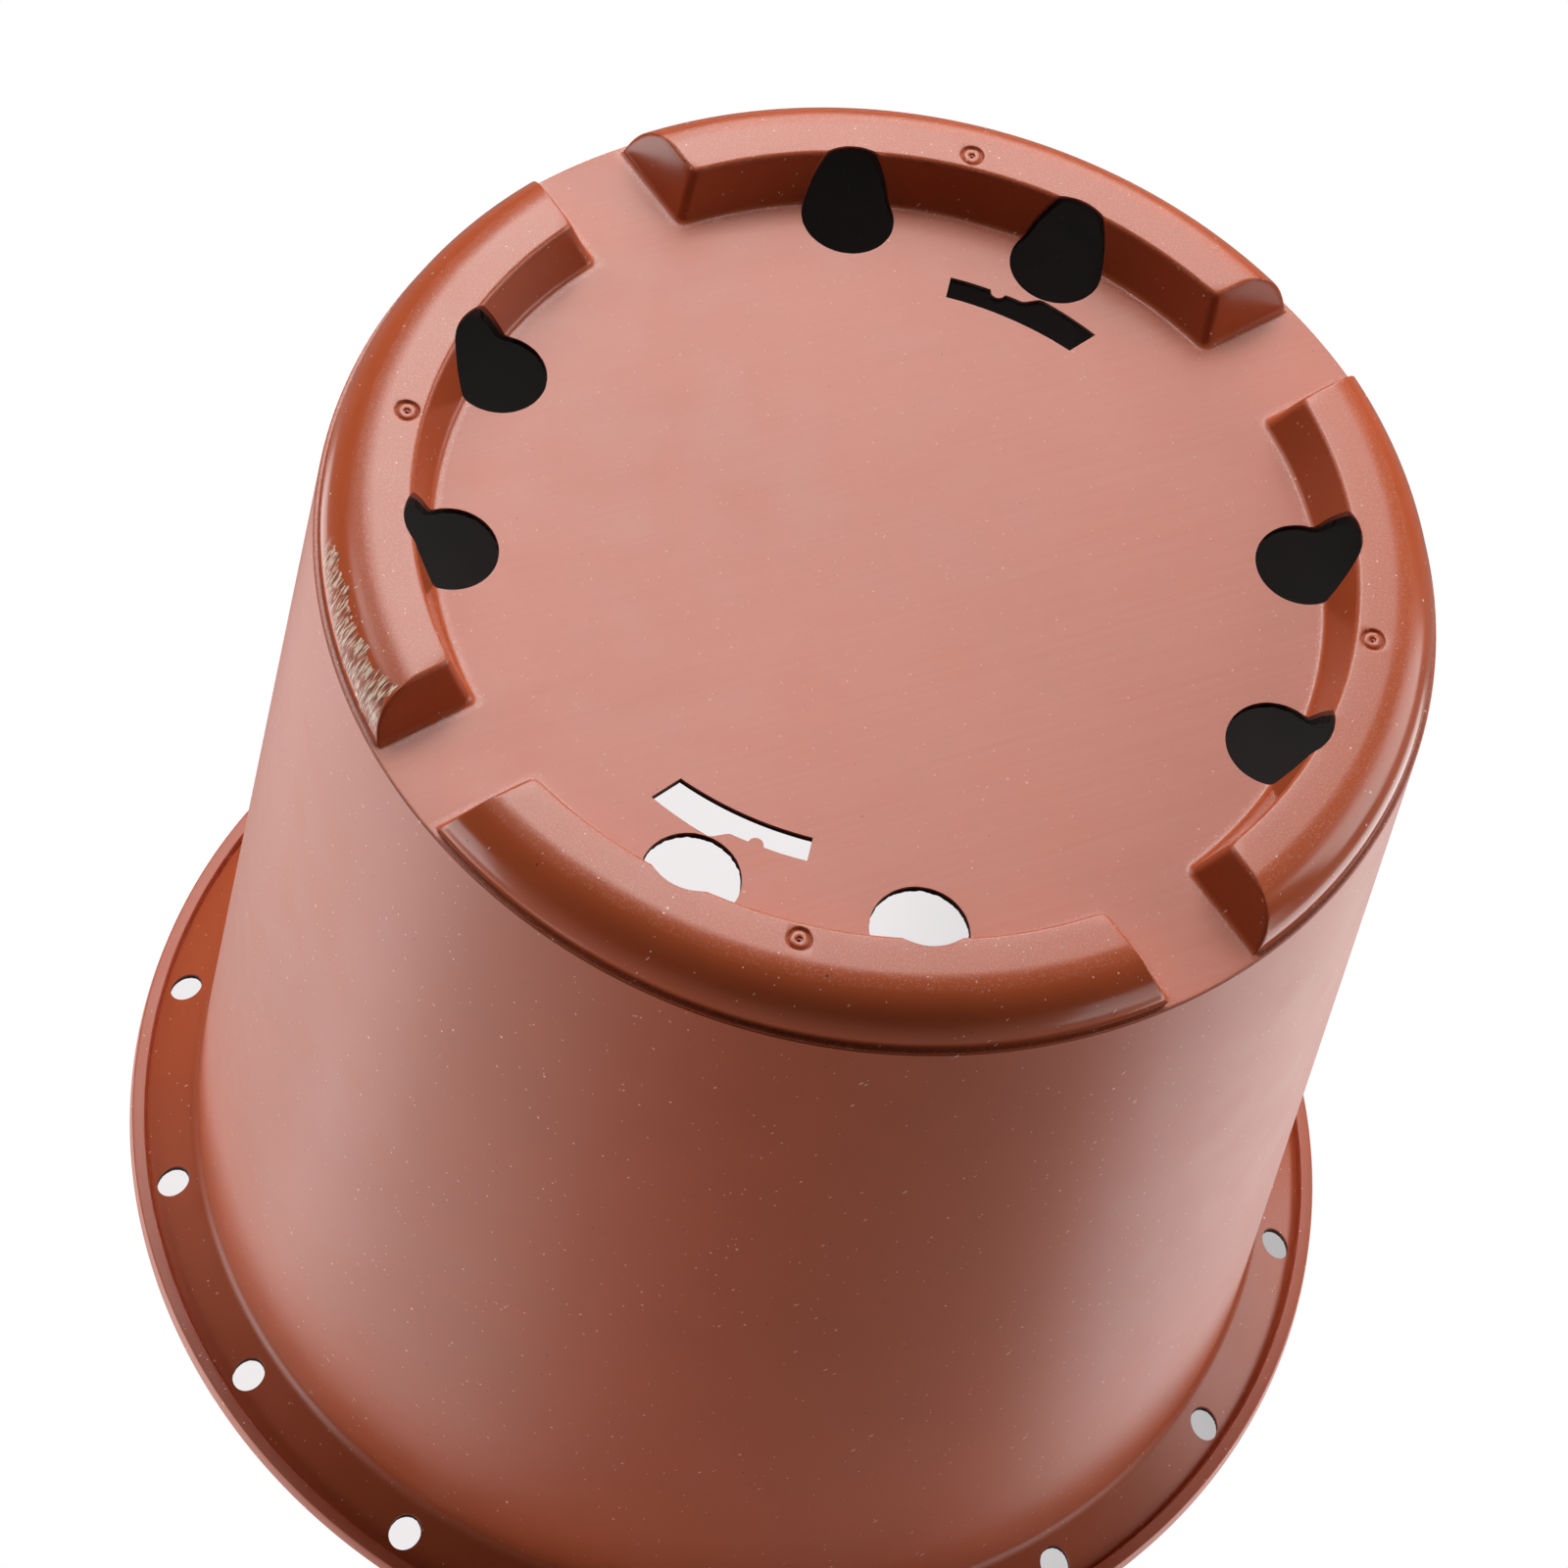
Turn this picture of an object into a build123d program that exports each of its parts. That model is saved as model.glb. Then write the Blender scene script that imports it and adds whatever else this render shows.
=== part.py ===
from build123d import *
import os
from math import acos, cos, hypot, radians, sin, tan

# Orchid pot with slots, standing on its feet with its opening up. Millimetres and degrees.
# The origin is the centre of the plane that the feet stand on, and +Z is the pot's axis.
# The pot is one moulding of two bonded plastics: a terracotta skin outside and a black liner inside.
# Its regions are the floor, four feet, the side wall, the rim flange and the rim lip,
# and each of them is a skin and a liner that meet face to face.
# The feet lie on the X and Y axes, and the channels between them lie on the diagonals.

# The whole pot
height = 155.2
base_radius = 70.0           # outside of the wall where it starts, level with the floor's underside
wall_draft = 3.58            # lean of the wall
skin_thickness = 0.4
liner_thickness = 0.6

# The feet
foot_height = 6.85           # from the plane that they stand on to the floor's underside
foot_draft = 20.9            # lean of a foot's inner wall and of its two ends
foot_flat_width = 4.1        # of the narrow flat that the pot stands on
foot_edge_radius = 0.7       # between that flat and the foot's inner wall and ends
foot_setback = 1.6           # from the foot's outermost line in to the outside of the wall's start
shoulder_radius = 5.85       # round outer shoulder of a foot
flare_radius = 0.9           # between the shoulder and the underside of the wall
floor_corner_radius = 0.9    # between the floor's underside and a foot
channel_width = 13.2         # of the channel between two feet, at the floor
foot_count = 4

# The drain holes, two at each foot
drain_radius = 6.05
drain_inset = 2.4            # from a hole's centre out to the foot's inner wall at the floor
drain_angle = 15.0           # from the middle of the foot

# The two arc slots in the floor, beside one drain hole of the front foot and one of the back foot
slot_count = 2
slot_web = 0.45              # plastic left between a slot's wide end and the drain hole
slot_wide_width = 4.5
slot_narrow_width = 3.35
slot_start_angle = 1.1       # from the middle of the foot
slot_narrow_span = 11.8      # length of the narrow end
slot_step_span = 3.1         # length of the slanting step between the two widths
slot_wide_span = 10.1        # length of the wide end
nub_radius = 0.95            # half-round nub on the outer edge of the narrow end
nub_span = 8.0               # from the slot's start to the nub

# The gate marks, one in the middle of each foot's flat
gate_recess_radius = 1.55
gate_disc_radius = 1.05      # slightly raised disc inside the recess
gate_recess_share = 0.6      # depth of the recess, of the skin's thickness
gate_disc_share = 0.25       # depth of the disc's face, of the skin's thickness

# The rim
flange_run = 7.15            # from the wall out to the lip
flange_slope = 31.3          # rise of the flange as it runs out
flange_corner_radius = 2.5   # between the wall and the flange
lip_thickness = 1.05         # from the flange's end up to the pot's mouth
lip_drop = 1.15              # from the flange's end down to the lip's lower edge
lip_width = 2.5
lip_inner_run = 0.75         # of the lip's sloping inner side
lip_draft = 9.3              # lean of the lip's outer side
lip_edge_radius = 0.5
rim_hole_count = 16
rim_hole_radius = 2.25
rim_hole_inset = 3.0         # from a hole's centre out to the lip

# How far a cutting shape runs past what it cuts
overrun = 2.0

# Small slope, in degrees, of a channel's edge past the feet, and the most of a run that arcs may use
channel_exit_slope = 10.0
arc_room_share = 0.96

# Worked out from the sizes above
thickness = skin_thickness + liner_thickness
crease_z = height - lip_thickness
corner_z = crease_z - flange_run * tan(radians(flange_slope))
corner_radius = base_radius + (corner_z - foot_height) * tan(radians(wall_draft))
crease_radius = corner_radius + flange_run
lip_radius = crease_radius + lip_width
lip_bottom_z = crease_z - lip_drop
rim_hole_circle = crease_radius - rim_hole_inset
wall_top_z = corner_z - flange_corner_radius
foot_reach = base_radius - foot_setback
flat_outer_radius = foot_reach - shoulder_radius
flat_inner_radius = flat_outer_radius - foot_flat_width
foot_lean = foot_height * tan(radians(foot_draft))
foot_base_radius = flat_inner_radius - foot_lean
floor_edge_radius = foot_reach - thickness - flare_radius
gate_circle = (flat_inner_radius + flat_outer_radius) / 2
drain_circle = foot_base_radius - drain_inset
slot_wide_radius = drain_circle - drain_radius - slot_web
slot_inner_radius = slot_wide_radius - slot_wide_width
slot_narrow_radius = slot_inner_radius + slot_narrow_width
foot_step = 360 / foot_count


def directions(corners):
    """Unit direction and length of each run between two corners."""
    runs = []
    for (ax, az, _), (bx, bz, _) in zip(corners, corners[1:]):
        length = hypot(bx - ax, bz - az)
        runs.append(((bx - ax) / length, (bz - az) / length, length))
    return runs


def moved_end(end, run, depth):
    """An outline's end, moved with its run and kept on the upright or level line through it."""
    x, z, radius = end
    ux, uz, _ = run
    if abs(ux) > abs(uz):
        return (x, z + depth / ux, radius)
    return (x - depth / uz, z, radius)


def moved(corners, depth):
    """An open outline of (x, z, radius) corners, moved by depth to its left.
    A radius shrinks where the outline turns left and grows where it turns right."""
    runs = directions(corners)
    result = [moved_end(corners[0], runs[0], depth)]
    for (x, z, radius), (ux, uz, _), (vx, vz, _) in zip(corners[1:-1], runs, runs[1:]):
        mitre = depth / (1 + ux * vx + uz * vz)
        turns_left = ux * vz - uz * vx > 0
        if radius > 0:
            radius = max(radius - depth, 0) if turns_left else radius + depth
        result.append((x - (uz + vz) * mitre, z + (ux + vx) * mitre, radius))
    result.append(moved_end(corners[-1], runs[-1], depth))
    return result


def arc_reaches(corners, runs):
    """How far from each corner its arc starts. Arcs that have no room on a run are made smaller."""
    reaches = [0.0] * len(corners)
    for i, ((ux, uz, _), (vx, vz, _)) in enumerate(zip(runs, runs[1:]), 1):
        turn = acos(max(-1, min(1, ux * vx + uz * vz)))
        reaches[i] = corners[i][2] * tan(turn / 2)
    fits = [1.0] * len(corners)
    for i, (_, _, length) in enumerate(runs):
        need = reaches[i] + reaches[i + 1]
        if need > arc_room_share * length:
            fit = arc_room_share * length / need
            fits[i] = min(fits[i], fit)
            fits[i + 1] = min(fits[i + 1], fit)
    return [reach * fit for reach, fit in zip(reaches, fits)]


def outline_edges(corners):
    """Lines and tangent arcs through the corners of an open outline in the XZ plane."""
    runs = directions(corners)
    reaches = arc_reaches(corners, runs)
    edges = []
    last = Vector(corners[0][0], 0, corners[0][1])
    for i in range(1, len(corners)):
        corner = Vector(corners[i][0], 0, corners[i][1])
        reach = reaches[i]
        into = Vector(runs[i - 1][0], 0, runs[i - 1][1])
        start = corner - into * reach
        edges.append(Edge.make_line(last, start))
        last = start
        if reach > 0:
            out = Vector(runs[i][0], 0, runs[i][1])
            turn = radians(into.get_angle(out))
            towards_centre = (out - into).normalized()
            middle = corner + towards_centre * (reach / tan(turn / 2) * (1 / cos(turn / 2) - 1))
            last = corner + out * reach
            edges.append(Edge.make_three_point_arc(start, middle, last))
    return edges


def closed_face(corners, closing):
    """A face in the XZ plane between an open outline and straight lines through the closing points."""
    edges = outline_edges(corners)
    path = [edges[-1] @ 1] + [Vector(x, 0, z) for x, z in closing] + [edges[0] @ 0]
    for start, end in zip(path, path[1:]):
        edges.append(Edge.make_line(start, end))
    return make_face(edges)


def foot_corners():
    """The outline from the pot's axis along the floor's underside, round a foot and up to the wall."""
    return [
        (0, foot_height, 0),
        (foot_base_radius, foot_height, floor_corner_radius),
        (flat_inner_radius, 0, foot_edge_radius),
        (foot_reach, 0, shoulder_radius),
        (foot_reach, foot_height, flare_radius),
        (base_radius, foot_height, 0),
    ]


def outside_corners():
    """The outline of the pot's outside, from the middle of its floor to its mouth."""
    lip_lean = (height - lip_bottom_z) * tan(radians(lip_draft))
    return foot_corners() + [
        (corner_radius, corner_z, flange_corner_radius),
        (crease_radius, crease_z, 0),
        (crease_radius + lip_inner_run, lip_bottom_z, lip_edge_radius),
        (lip_radius - lip_lean, lip_bottom_z, lip_edge_radius),
        (lip_radius, height, 0),
    ]


def inside_corners():
    """The outline that the pot's inside follows, whose flange runs on to the mouth without a lip."""
    mouth_radius = corner_radius + (height - corner_z) / tan(radians(flange_slope))
    return foot_corners() + [
        (corner_radius, corner_z, flange_corner_radius),
        (mouth_radius, height, 0),
    ]


def channel_corners():
    """The outline across a channel: its two leaning sides and the floor between them."""
    half_floor = channel_width / 2
    half_mouth = half_floor + foot_lean
    half_end = half_mouth + overrun
    end_z = -overrun * tan(radians(channel_exit_slope))
    return [
        (-half_end, end_z, 0),
        (-half_mouth, 0, foot_edge_radius),
        (-half_floor, foot_height, floor_corner_radius),
        (half_floor, foot_height, floor_corner_radius),
        (half_mouth, 0, foot_edge_radius),
        (half_end, end_z, 0),
    ]


def channel_cutters(depth):
    """The channels between the feet, each of them a bar that runs out along a diagonal."""
    corners = moved(channel_corners(), depth)
    end = corners[-1][0]
    section = closed_face(corners, [(end, -overrun), (-end, -overrun)])
    start = foot_base_radius - channel_width
    length = base_radius + overrun - start
    bar = Pos(0, start, 0) * extrude(section, length, dir=(0, 1, 0))
    return [Rot(0, 0, foot_step * (n + 0.5)) * bar for n in range(foot_count)]


def filled_pot(corners, depth):
    """The pot as one solid block, with its outside moved in by depth."""
    shape = revolve(closed_face(moved(corners, depth), [(0, height)]), Axis.Z)
    for bar in channel_cutters(depth):
        shape -= bar
    return shape


def polar(radius, angle):
    """The point at a radius and an angle in the XY plane."""
    return Vector(radius * cos(radians(angle)), radius * sin(radians(angle)), 0)


def arc(radius, start, end):
    """An arc about the pot's axis between two angles."""
    middle = (start + end) / 2
    return Edge.make_three_point_arc(polar(radius, start), polar(radius, middle), polar(radius, end))


def slot_face():
    """The plan of the slot beside the front foot, whose middle is at -90 degrees."""
    start = slot_start_angle - 90
    narrow_end = start + slot_narrow_span
    wide_start = narrow_end + slot_step_span
    end = wide_start + slot_wide_span
    plan = make_face([
        arc(slot_inner_radius, start, end),
        Edge.make_line(polar(slot_inner_radius, end), polar(slot_wide_radius, end)),
        arc(slot_wide_radius, end, wide_start),
        Edge.make_line(polar(slot_wide_radius, wide_start), polar(slot_narrow_radius, narrow_end)),
        arc(slot_narrow_radius, narrow_end, start),
        Edge.make_line(polar(slot_narrow_radius, start), polar(slot_inner_radius, start)),
    ])
    return plan - Pos(polar(slot_narrow_radius, start + nub_span)) * Circle(nub_radius)


def slot_cutters():
    """The two slots, through the floor."""
    bottom = foot_height - overrun
    slot = Pos(0, 0, bottom) * extrude(slot_face(), thickness + 2 * overrun, dir=(0, 0, 1))
    return [Rot(0, 0, 360 / slot_count * n) * slot for n in range(slot_count)]


def upright_cylinder(radius, bottom, top):
    """A cylinder about the Z axis between two heights."""
    return Pos(0, 0, bottom) * extrude(Circle(radius), top - bottom, dir=(0, 0, 1))


def drain_cutters():
    """The drain holes, which go straight up through the floor and the feet's inner walls."""
    hole = upright_cylinder(drain_radius, -overrun, foot_height + thickness + overrun)
    cutters = []
    for n in range(foot_count):
        for angle in (-drain_angle, drain_angle):
            cutters.append(Pos(polar(drain_circle, foot_step * n + angle)) * hole)
    return cutters


def rim_hole_cutters():
    """The ring of holes through the flange."""
    hole = upright_cylinder(rim_hole_radius, wall_top_z, height + overrun)
    step = 360 / rim_hole_count
    return [Pos(polar(rim_hole_circle, step * n)) * hole for n in range(rim_hole_count)]


def gate_cutters():
    """The shallow gate recesses in the flats of the feet, each with a raised disc in it."""
    recess_top = gate_recess_share * skin_thickness
    disc_top = gate_disc_share * skin_thickness
    disc = upright_cylinder(gate_disc_radius, disc_top, recess_top + overrun)
    recess = upright_cylinder(gate_recess_radius, -overrun, recess_top) - disc
    return [Pos(polar(gate_circle, foot_step * n)) * recess for n in range(foot_count)]


def without(shape, cutters):
    """The shape with every cutter taken away."""
    for cutter in cutters:
        shape -= cutter
    return shape


def tube(inner, outer, bottom, top):
    """A ring-shaped block that holds one region of the pot."""
    return upright_cylinder(outer, bottom, top) - upright_cylinder(inner, bottom, top)


def feet_of(layer):
    """The four feet of a layer, by name: everything below the floor's underside."""
    reach = base_radius + overrun
    block = upright_cylinder(reach, -overrun, foot_height)
    solids = (layer & block).solids()
    places = {
        "foot_right": (foot_reach, 0),
        "foot_back": (0, foot_reach),
        "foot_left": (-foot_reach, 0),
        "foot_front": (0, -foot_reach),
    }
    feet = {}
    for name, (x, y) in places.items():
        feet[name] = min(solids, key=lambda solid: (solid.center() - Vector(x, y, 0)).length)
    return feet


def regions_of(layer):
    """The floor, wall, flange and lip of a layer, by name."""
    reach = lip_radius + overrun
    top = height + overrun
    blocks = {
        "floor": upright_cylinder(floor_edge_radius, foot_height, foot_height + thickness + overrun),
        "wall": tube(floor_edge_radius, reach, foot_height, wall_top_z),
        "flange": upright_cylinder(crease_radius, wall_top_z, top),
        "lip": tube(crease_radius, reach, wall_top_z, top),
    }
    return {name: layer & block for name, block in blocks.items()}


def write(name, shape):
    """Writes a node's solids to its STEP file."""
    solids = shape.solids()
    node = solids[0] if len(solids) == 1 else Compound(solids)
    node.label = name
    export_step(node, f"parts/{name}.step")


def main():
    """Builds the skin and the liner, cuts their holes and writes their regions."""
    outer = filled_pot(outside_corners(), 0)
    middle = filled_pot(outside_corners(), skin_thickness)
    inner = filled_pot(inside_corners(), thickness)
    holes = drain_cutters() + slot_cutters() + rim_hole_cutters()
    skin = without(outer - middle, holes + gate_cutters())
    liner = without(middle - inner, holes)
    os.makedirs("parts", exist_ok=True)
    for layer_name, layer in (("skin", skin), ("liner", liner)):
        for name, shape in {**feet_of(layer), **regions_of(layer)}.items():
            write(f"{name}_{layer_name}", shape)


main()
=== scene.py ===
"""The looks of a slotted orchid pot: a moulding of a terracotta skin and a black liner.

The pot stands on its feet with its mouth up, and the camera looks at its base from below.
Sizes are in metres. Every piece is a closed shell between two depths below the pot's outside.
"""
from math import cos, pi, radians, sin, tan

import bpy
import numpy as np
from bpy.props import FloatProperty, FloatVectorProperty, PointerProperty
from mathutils import Matrix, Vector


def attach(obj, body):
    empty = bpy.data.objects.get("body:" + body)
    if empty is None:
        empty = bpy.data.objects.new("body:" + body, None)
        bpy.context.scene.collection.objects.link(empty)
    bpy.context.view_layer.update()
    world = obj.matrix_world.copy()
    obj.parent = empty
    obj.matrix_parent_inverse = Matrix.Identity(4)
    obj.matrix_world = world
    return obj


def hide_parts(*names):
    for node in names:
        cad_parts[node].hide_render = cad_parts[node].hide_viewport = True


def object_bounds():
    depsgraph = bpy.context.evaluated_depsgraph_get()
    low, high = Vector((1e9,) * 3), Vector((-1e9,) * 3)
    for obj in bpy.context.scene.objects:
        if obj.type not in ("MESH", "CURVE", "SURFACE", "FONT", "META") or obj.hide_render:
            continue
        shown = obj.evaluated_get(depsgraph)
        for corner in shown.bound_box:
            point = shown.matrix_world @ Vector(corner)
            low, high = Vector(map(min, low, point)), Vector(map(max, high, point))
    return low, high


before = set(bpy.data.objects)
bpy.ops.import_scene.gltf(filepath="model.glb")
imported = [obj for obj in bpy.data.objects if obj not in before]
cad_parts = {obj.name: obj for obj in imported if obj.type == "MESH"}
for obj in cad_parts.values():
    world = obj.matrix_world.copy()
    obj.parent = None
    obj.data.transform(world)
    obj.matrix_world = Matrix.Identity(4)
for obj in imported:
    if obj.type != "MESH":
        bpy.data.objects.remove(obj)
cad_low, cad_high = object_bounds()

bl_info = {
    "name": "Slotted orchid pot",
    "version": (1, 0, 0),
    "blender": (4, 5, 0),
    "location": "3D View > Sidebar > Orchid pot",
    "description": "Builds a slotted orchid pot of two bonded plastics, with its studio",
    "category": "Add Mesh",
}

MM = 0.001
BODY = "root"
FOOT_COUNT = 4
FOOT_STEP = 2 * pi / FOOT_COUNT
FOOT_NAMES = ("right", "back", "left", "front")
SLOT_COUNT = 2
RIM_HOLE_COUNT = 16

# How finely the curved parts are divided
RING_STEPS = 480             # round the wall and the rim
FLOOR_ARC_STEPS = 8          # fillet at the floor, and the foot's narrow rounded edge
FOOT_WALL_STEPS = 14         # up a foot's inner wall and its ends
FOOT_FLAT_STEPS = 3
SHOULDER_STEPS = 30
FLARE_STEPS = 8
LEDGE_STEPS = 8              # the rounded outer edge of the ledge, and its return into the groove
FOOT_SPAN_STEPS = 84         # along a foot between its two ends
CHANNEL_STEPS = 12           # across a channel's floor
FLOOR_RINGS = 16
CORNER_STEPS = 6             # round a small edge of the rim
HOLE_STEPS = 144
SLOT_STEPS = 90
SLOT_INNER_STRIDE = 6        # the slot's inner edge takes every sixth angle of its outer edge
MARK_STEPS = 72
SHARP_ANGLE = radians(32)

# Small sizes that keep the meshes sound
LEAST_CORNER = 0.03 * MM           # radius that a rounded corner keeps in a moved outline
LEAST_PLAN_CORNER = 0.25 * MM      # the same for a foot's corners, seen from below
ARC_ROOM = 0.96                    # share of a run that the arcs at its two ends may take
TINY = 1e-12                       # stands in for no reach at all
FOOT_MARGIN = 1.2 * MM             # flat floor that a foot's piece keeps round the foot
LAND_LEAN = 0.04 * MM              # keeps the radius growing between the shoulder and the flare
LEDGE_INSET = 0.04 * MM            # from the base radius in to the ledge's outermost point
GROOVE_LIFT = 0.02 * MM            # rise of the ledge's return into the groove
FIRST_RING = 0.02                  # radius of the floor's first ring, as a share of its last
CUT_OVERRUN = 2 * MM               # how far a cutter stands out of what it cuts

# Cut edges: sines of an angle, by their waves in a turn and their sizes, with unlike phases
BURR_WAVES = np.array([5, 9, 14, 23, 31, 47])
BURR_SIZES = np.array([0.5, 0.4, 0.45, 0.5, 0.35, 0.3])
BURR_PHASE, BURR_SEED_PHASE = 12.9898, 78.233
SLOT_BURR_WAVES = (611, 1433)     # in radians, two at once
RIM_BURR_SHARE = 0.5         # the rim holes' burr, as a share of the drain holes'
GATE_WAVES, GATE_WANDER = 3, 0.02          # of a gate mark's outline
GATE_OVERRUN, GATE_CLEAR = 0.5 * MM, 0.01 * MM     # rows of its cutter that lie outside the foot


def length(name, default, description):
    """A size given in millimetres that a user can set."""
    return FloatProperty(name=name, description=description, default=default * MM, unit="LENGTH",
                         precision=5)


def angle(name, default, description):
    """An angle given in degrees that a user can set."""
    return FloatProperty(name=name, description=description, default=radians(default), subtype="ANGLE")


def number(name, default, description):
    """A plain number that a user can set."""
    return FloatProperty(name=name, description=description, default=default, precision=4)


def colour(name, default, description):
    """A linear colour that a user can set."""
    return FloatVectorProperty(name=name, description=description, default=default, subtype="COLOR",
                               size=3, min=0, max=1)


class PotSizes(bpy.types.PropertyGroup):
    """Sizes of the whole pot"""
    height: length("Height", (cad_high.z - cad_low.z) / MM, "From the feet's flats to the mouth")
    base_radius: length("Base radius", 70.0, "Outside of the wall where it starts")
    wall_draft: angle("Wall draft", 3.58, "Lean of the wall")
    skin: length("Skin", 0.4, "Thickness of the terracotta layer")
    liner: length("Liner", 0.6, "Thickness of the black layer")
    groove: length("Groove", 0.16, "Height of the parting groove between the base and the wall")
    groove_depth: length("Groove depth", 0.42, "Depth of that groove")
    ledge_edge: length("Ledge edge", 0.16, "Radius of the two edges beside the groove")


class FootSizes(bpy.types.PropertyGroup):
    """Sizes of the four feet and the channels between them"""
    height: length("Height", 6.85, "From the feet's flats to the floor's underside")
    draft: angle("Draft", 20.9, "Lean of a foot's inner wall and of its ends")
    flat_width: length("Flat width", 4.45, "Width of the flat that the pot stands on")
    edge: length("Edge", 0.7, "Radius between the flat and the inner wall")
    setback: length("Setback", 0.8, "From the foot's outermost line in to the wall's start")
    shoulder: length("Shoulder", 6.3, "Radius of the outer shoulder")
    flare: length("Flare", 0.3, "Radius between the shoulder and the ledge")
    fillet: length("Fillet", 0.9, "Radius between the floor and a foot")
    plan_corner: length("Plan corner", 1.1, "Radius of a foot's inner corners, seen from below")
    channel: length("Channel", 13.2, "Width of a channel at the floor")
    shoulder_softness: number("Shoulder softness", 9.0, "Higher is a sharper edge at a shoulder's end")


class OpeningSizes(bpy.types.PropertyGroup):
    """Sizes of the drain holes, the arc slots and the gate marks"""
    drain_radius: length("Drain radius", 6.05, "Radius of a drain hole")
    drain_inset: length("Drain inset", 2.4, "From a drain hole's centre out to the foot's wall")
    drain_angle: angle("Drain angle", 15.0, "From a foot's middle to a drain hole")
    burr: length("Burr", 0.09, "How far the black layer's cut edge wanders")
    slot_inner: length("Slot inner", 42.4, "Inner radius of a slot")
    slot_narrow: length("Slot narrow", 45.76, "Outer radius of a slot's narrow end")
    slot_wide: length("Slot wide", 47.35, "Outer radius of a slot's wide end at its step")
    slot_wide_end: length("Slot wide end", 46.8, "Outer radius of a slot's wide end at its tip")
    slot_start: angle("Slot start", 1.1, "From a foot's middle to the slot's narrow end")
    slot_step: angle("Slot step", 13.0, "From a foot's middle to the start of the slot's step")
    slot_step_end: angle("Slot step end", 16.1, "From a foot's middle to the end of the slot's step")
    slot_end: angle("Slot end", 26.1, "From a foot's middle to the slot's wide end")
    nub_angle: angle("Nub angle", 9.1, "From a foot's middle to the half-round nub")
    nub_radius: length("Nub radius", 0.95, "Radius of the half-round nub")
    gate_radius: length("Gate radius", 1.6, "Radius of a gate recess")
    gate_disc: length("Gate disc", 1.05, "Radius of the raised disc in a gate recess")
    gate_pit: length("Gate pit", 0.42, "Radius of the pit in that disc")
    gate_depth: length("Gate depth", 0.38, "Depth of a gate recess")


class RimSizes(bpy.types.PropertyGroup):
    """Sizes of the flange and the lip"""
    run: length("Flange run", 7.15, "From the wall out to the lip")
    slope: angle("Flange slope", 31.3, "Rise of the flange as it runs out")
    corner: length("Flange corner", 2.5, "Radius between the wall and the flange")
    lip_thickness: length("Lip thickness", 1.05, "From the flange's end up to the mouth")
    lip_drop: length("Lip drop", 1.15, "From the flange's end down to the lip's lower edge")
    lip_width: length("Lip width", 2.5, "Width of the lip")
    lip_inner_run: length("Lip inner run", 0.35, "Run of the lip's sloping inner side")
    lip_draft: angle("Lip draft", 9.3, "Lean of the lip's outer side")
    lip_edge: length("Lip edge", 0.25, "Radius of the lip's lower edges")
    mouth_edge: length("Mouth edge", 0.18, "Radius of the edges at the mouth")
    hole_radius: length("Hole radius", 2.25, "Radius of a rim hole")
    hole_inset: length("Hole inset", 3.0, "From a rim hole's centre out to the lip")


class FinishValues(bpy.types.PropertyGroup):
    """Colours and gloss of the two plastics"""
    terracotta: colour("Terracotta", (0.395, 0.076, 0.026), "The skin's own colour")
    # The dust colour also paints the feet's glints and part of the lip's sheen.
    dust: colour("Dust", (0.85, 0.66, 0.54), "Specks and strokes of dust on the skin")
    chalk: colour("Chalk", (0.74, 0.62, 0.49), "Where the skin is rubbed pale")
    black: colour("Black", (0.020, 0.012, 0.011), "The liner's own colour")
    grime: colour("Grime", (0.16, 0.13, 0.12), "Dust on the liner")
    floor_roughness: number("Floor roughness", 0.40, "Roughness of the floor's underside")
    foot_roughness: number("Foot roughness", 0.30, "Roughness of the feet")
    wall_roughness: number("Wall roughness", 0.42, "Roughness of the wall")
    rim_roughness: number("Rim roughness", 0.36, "Roughness of the flange and the lip")
    liner_roughness: number("Liner roughness", 0.34, "Roughness of the liner")


class StudioValues(bpy.types.PropertyGroup):
    """The camera and the surroundings"""
    aim: FloatVectorProperty(name="Aim", description="The point that the camera looks at", size=3,
                             default=(4.73 * MM, 0.11 * MM, 61.86 * MM), subtype="TRANSLATION")
    distance: length("Distance", 642.5, "From the aim point to the camera")
    azimuth: angle("Azimuth", 1.349, "Round the pot, from the front foot")
    elevation: angle("Elevation", -56.76, "Above the floor the pot stands on")
    roll: angle("Roll", 165.567, "Turn of the camera about its own line of sight")
    lens: number("Lens", 111.0, "Focal length in millimetres on a 36 mm frame")
    above: number("Above", 0.24, "Brightness of the surroundings above the pot, of white")
    below: number("Below", 0.02, "Brightness of the surroundings below the pot")


class Form:
    """The pot's sizes in metres, with those worked out from them."""

    def __init__(self):
        scene = bpy.context.scene
        self.pot, self.foot = scene.pot_sizes, scene.foot_sizes
        self.opening, self.rim = scene.opening_sizes, scene.rim_sizes
        pot, foot, rim = self.pot, self.foot, self.rim
        self.depth = pot.skin + pot.liner
        self.floor_top_z = foot.height + self.depth
        self.crease_z = pot.height - rim.lip_thickness
        self.corner_z = self.crease_z - rim.run * tan(rim.slope)
        self.corner_radius = pot.base_radius + (self.corner_z - foot.height) * tan(pot.wall_draft)
        self.crease_radius = self.corner_radius + rim.run
        self.lip_radius = self.crease_radius + rim.lip_width
        self.lip_bottom_z = self.crease_z - rim.lip_drop
        self.rim_hole_circle = self.crease_radius - rim.hole_inset
        self.wall_top_z = self.corner_z - rim.corner
        self.reach = pot.base_radius - foot.setback
        self.flat_outer = self.reach - foot.shoulder
        self.flat_inner = self.flat_outer - foot.flat_width
        self.foot_base = self.flat_inner - foot.height * tan(foot.draft)
        self.gate_circle = (self.flat_inner + self.flat_outer) / 2
        self.drain_circle = self.foot_base - self.opening.drain_inset
        self.half_channel = foot.channel / 2
        self.patch_start = self.foot_base - FOOT_MARGIN
        self.base_edge = pot.base_radius - pot.groove_depth


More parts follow.
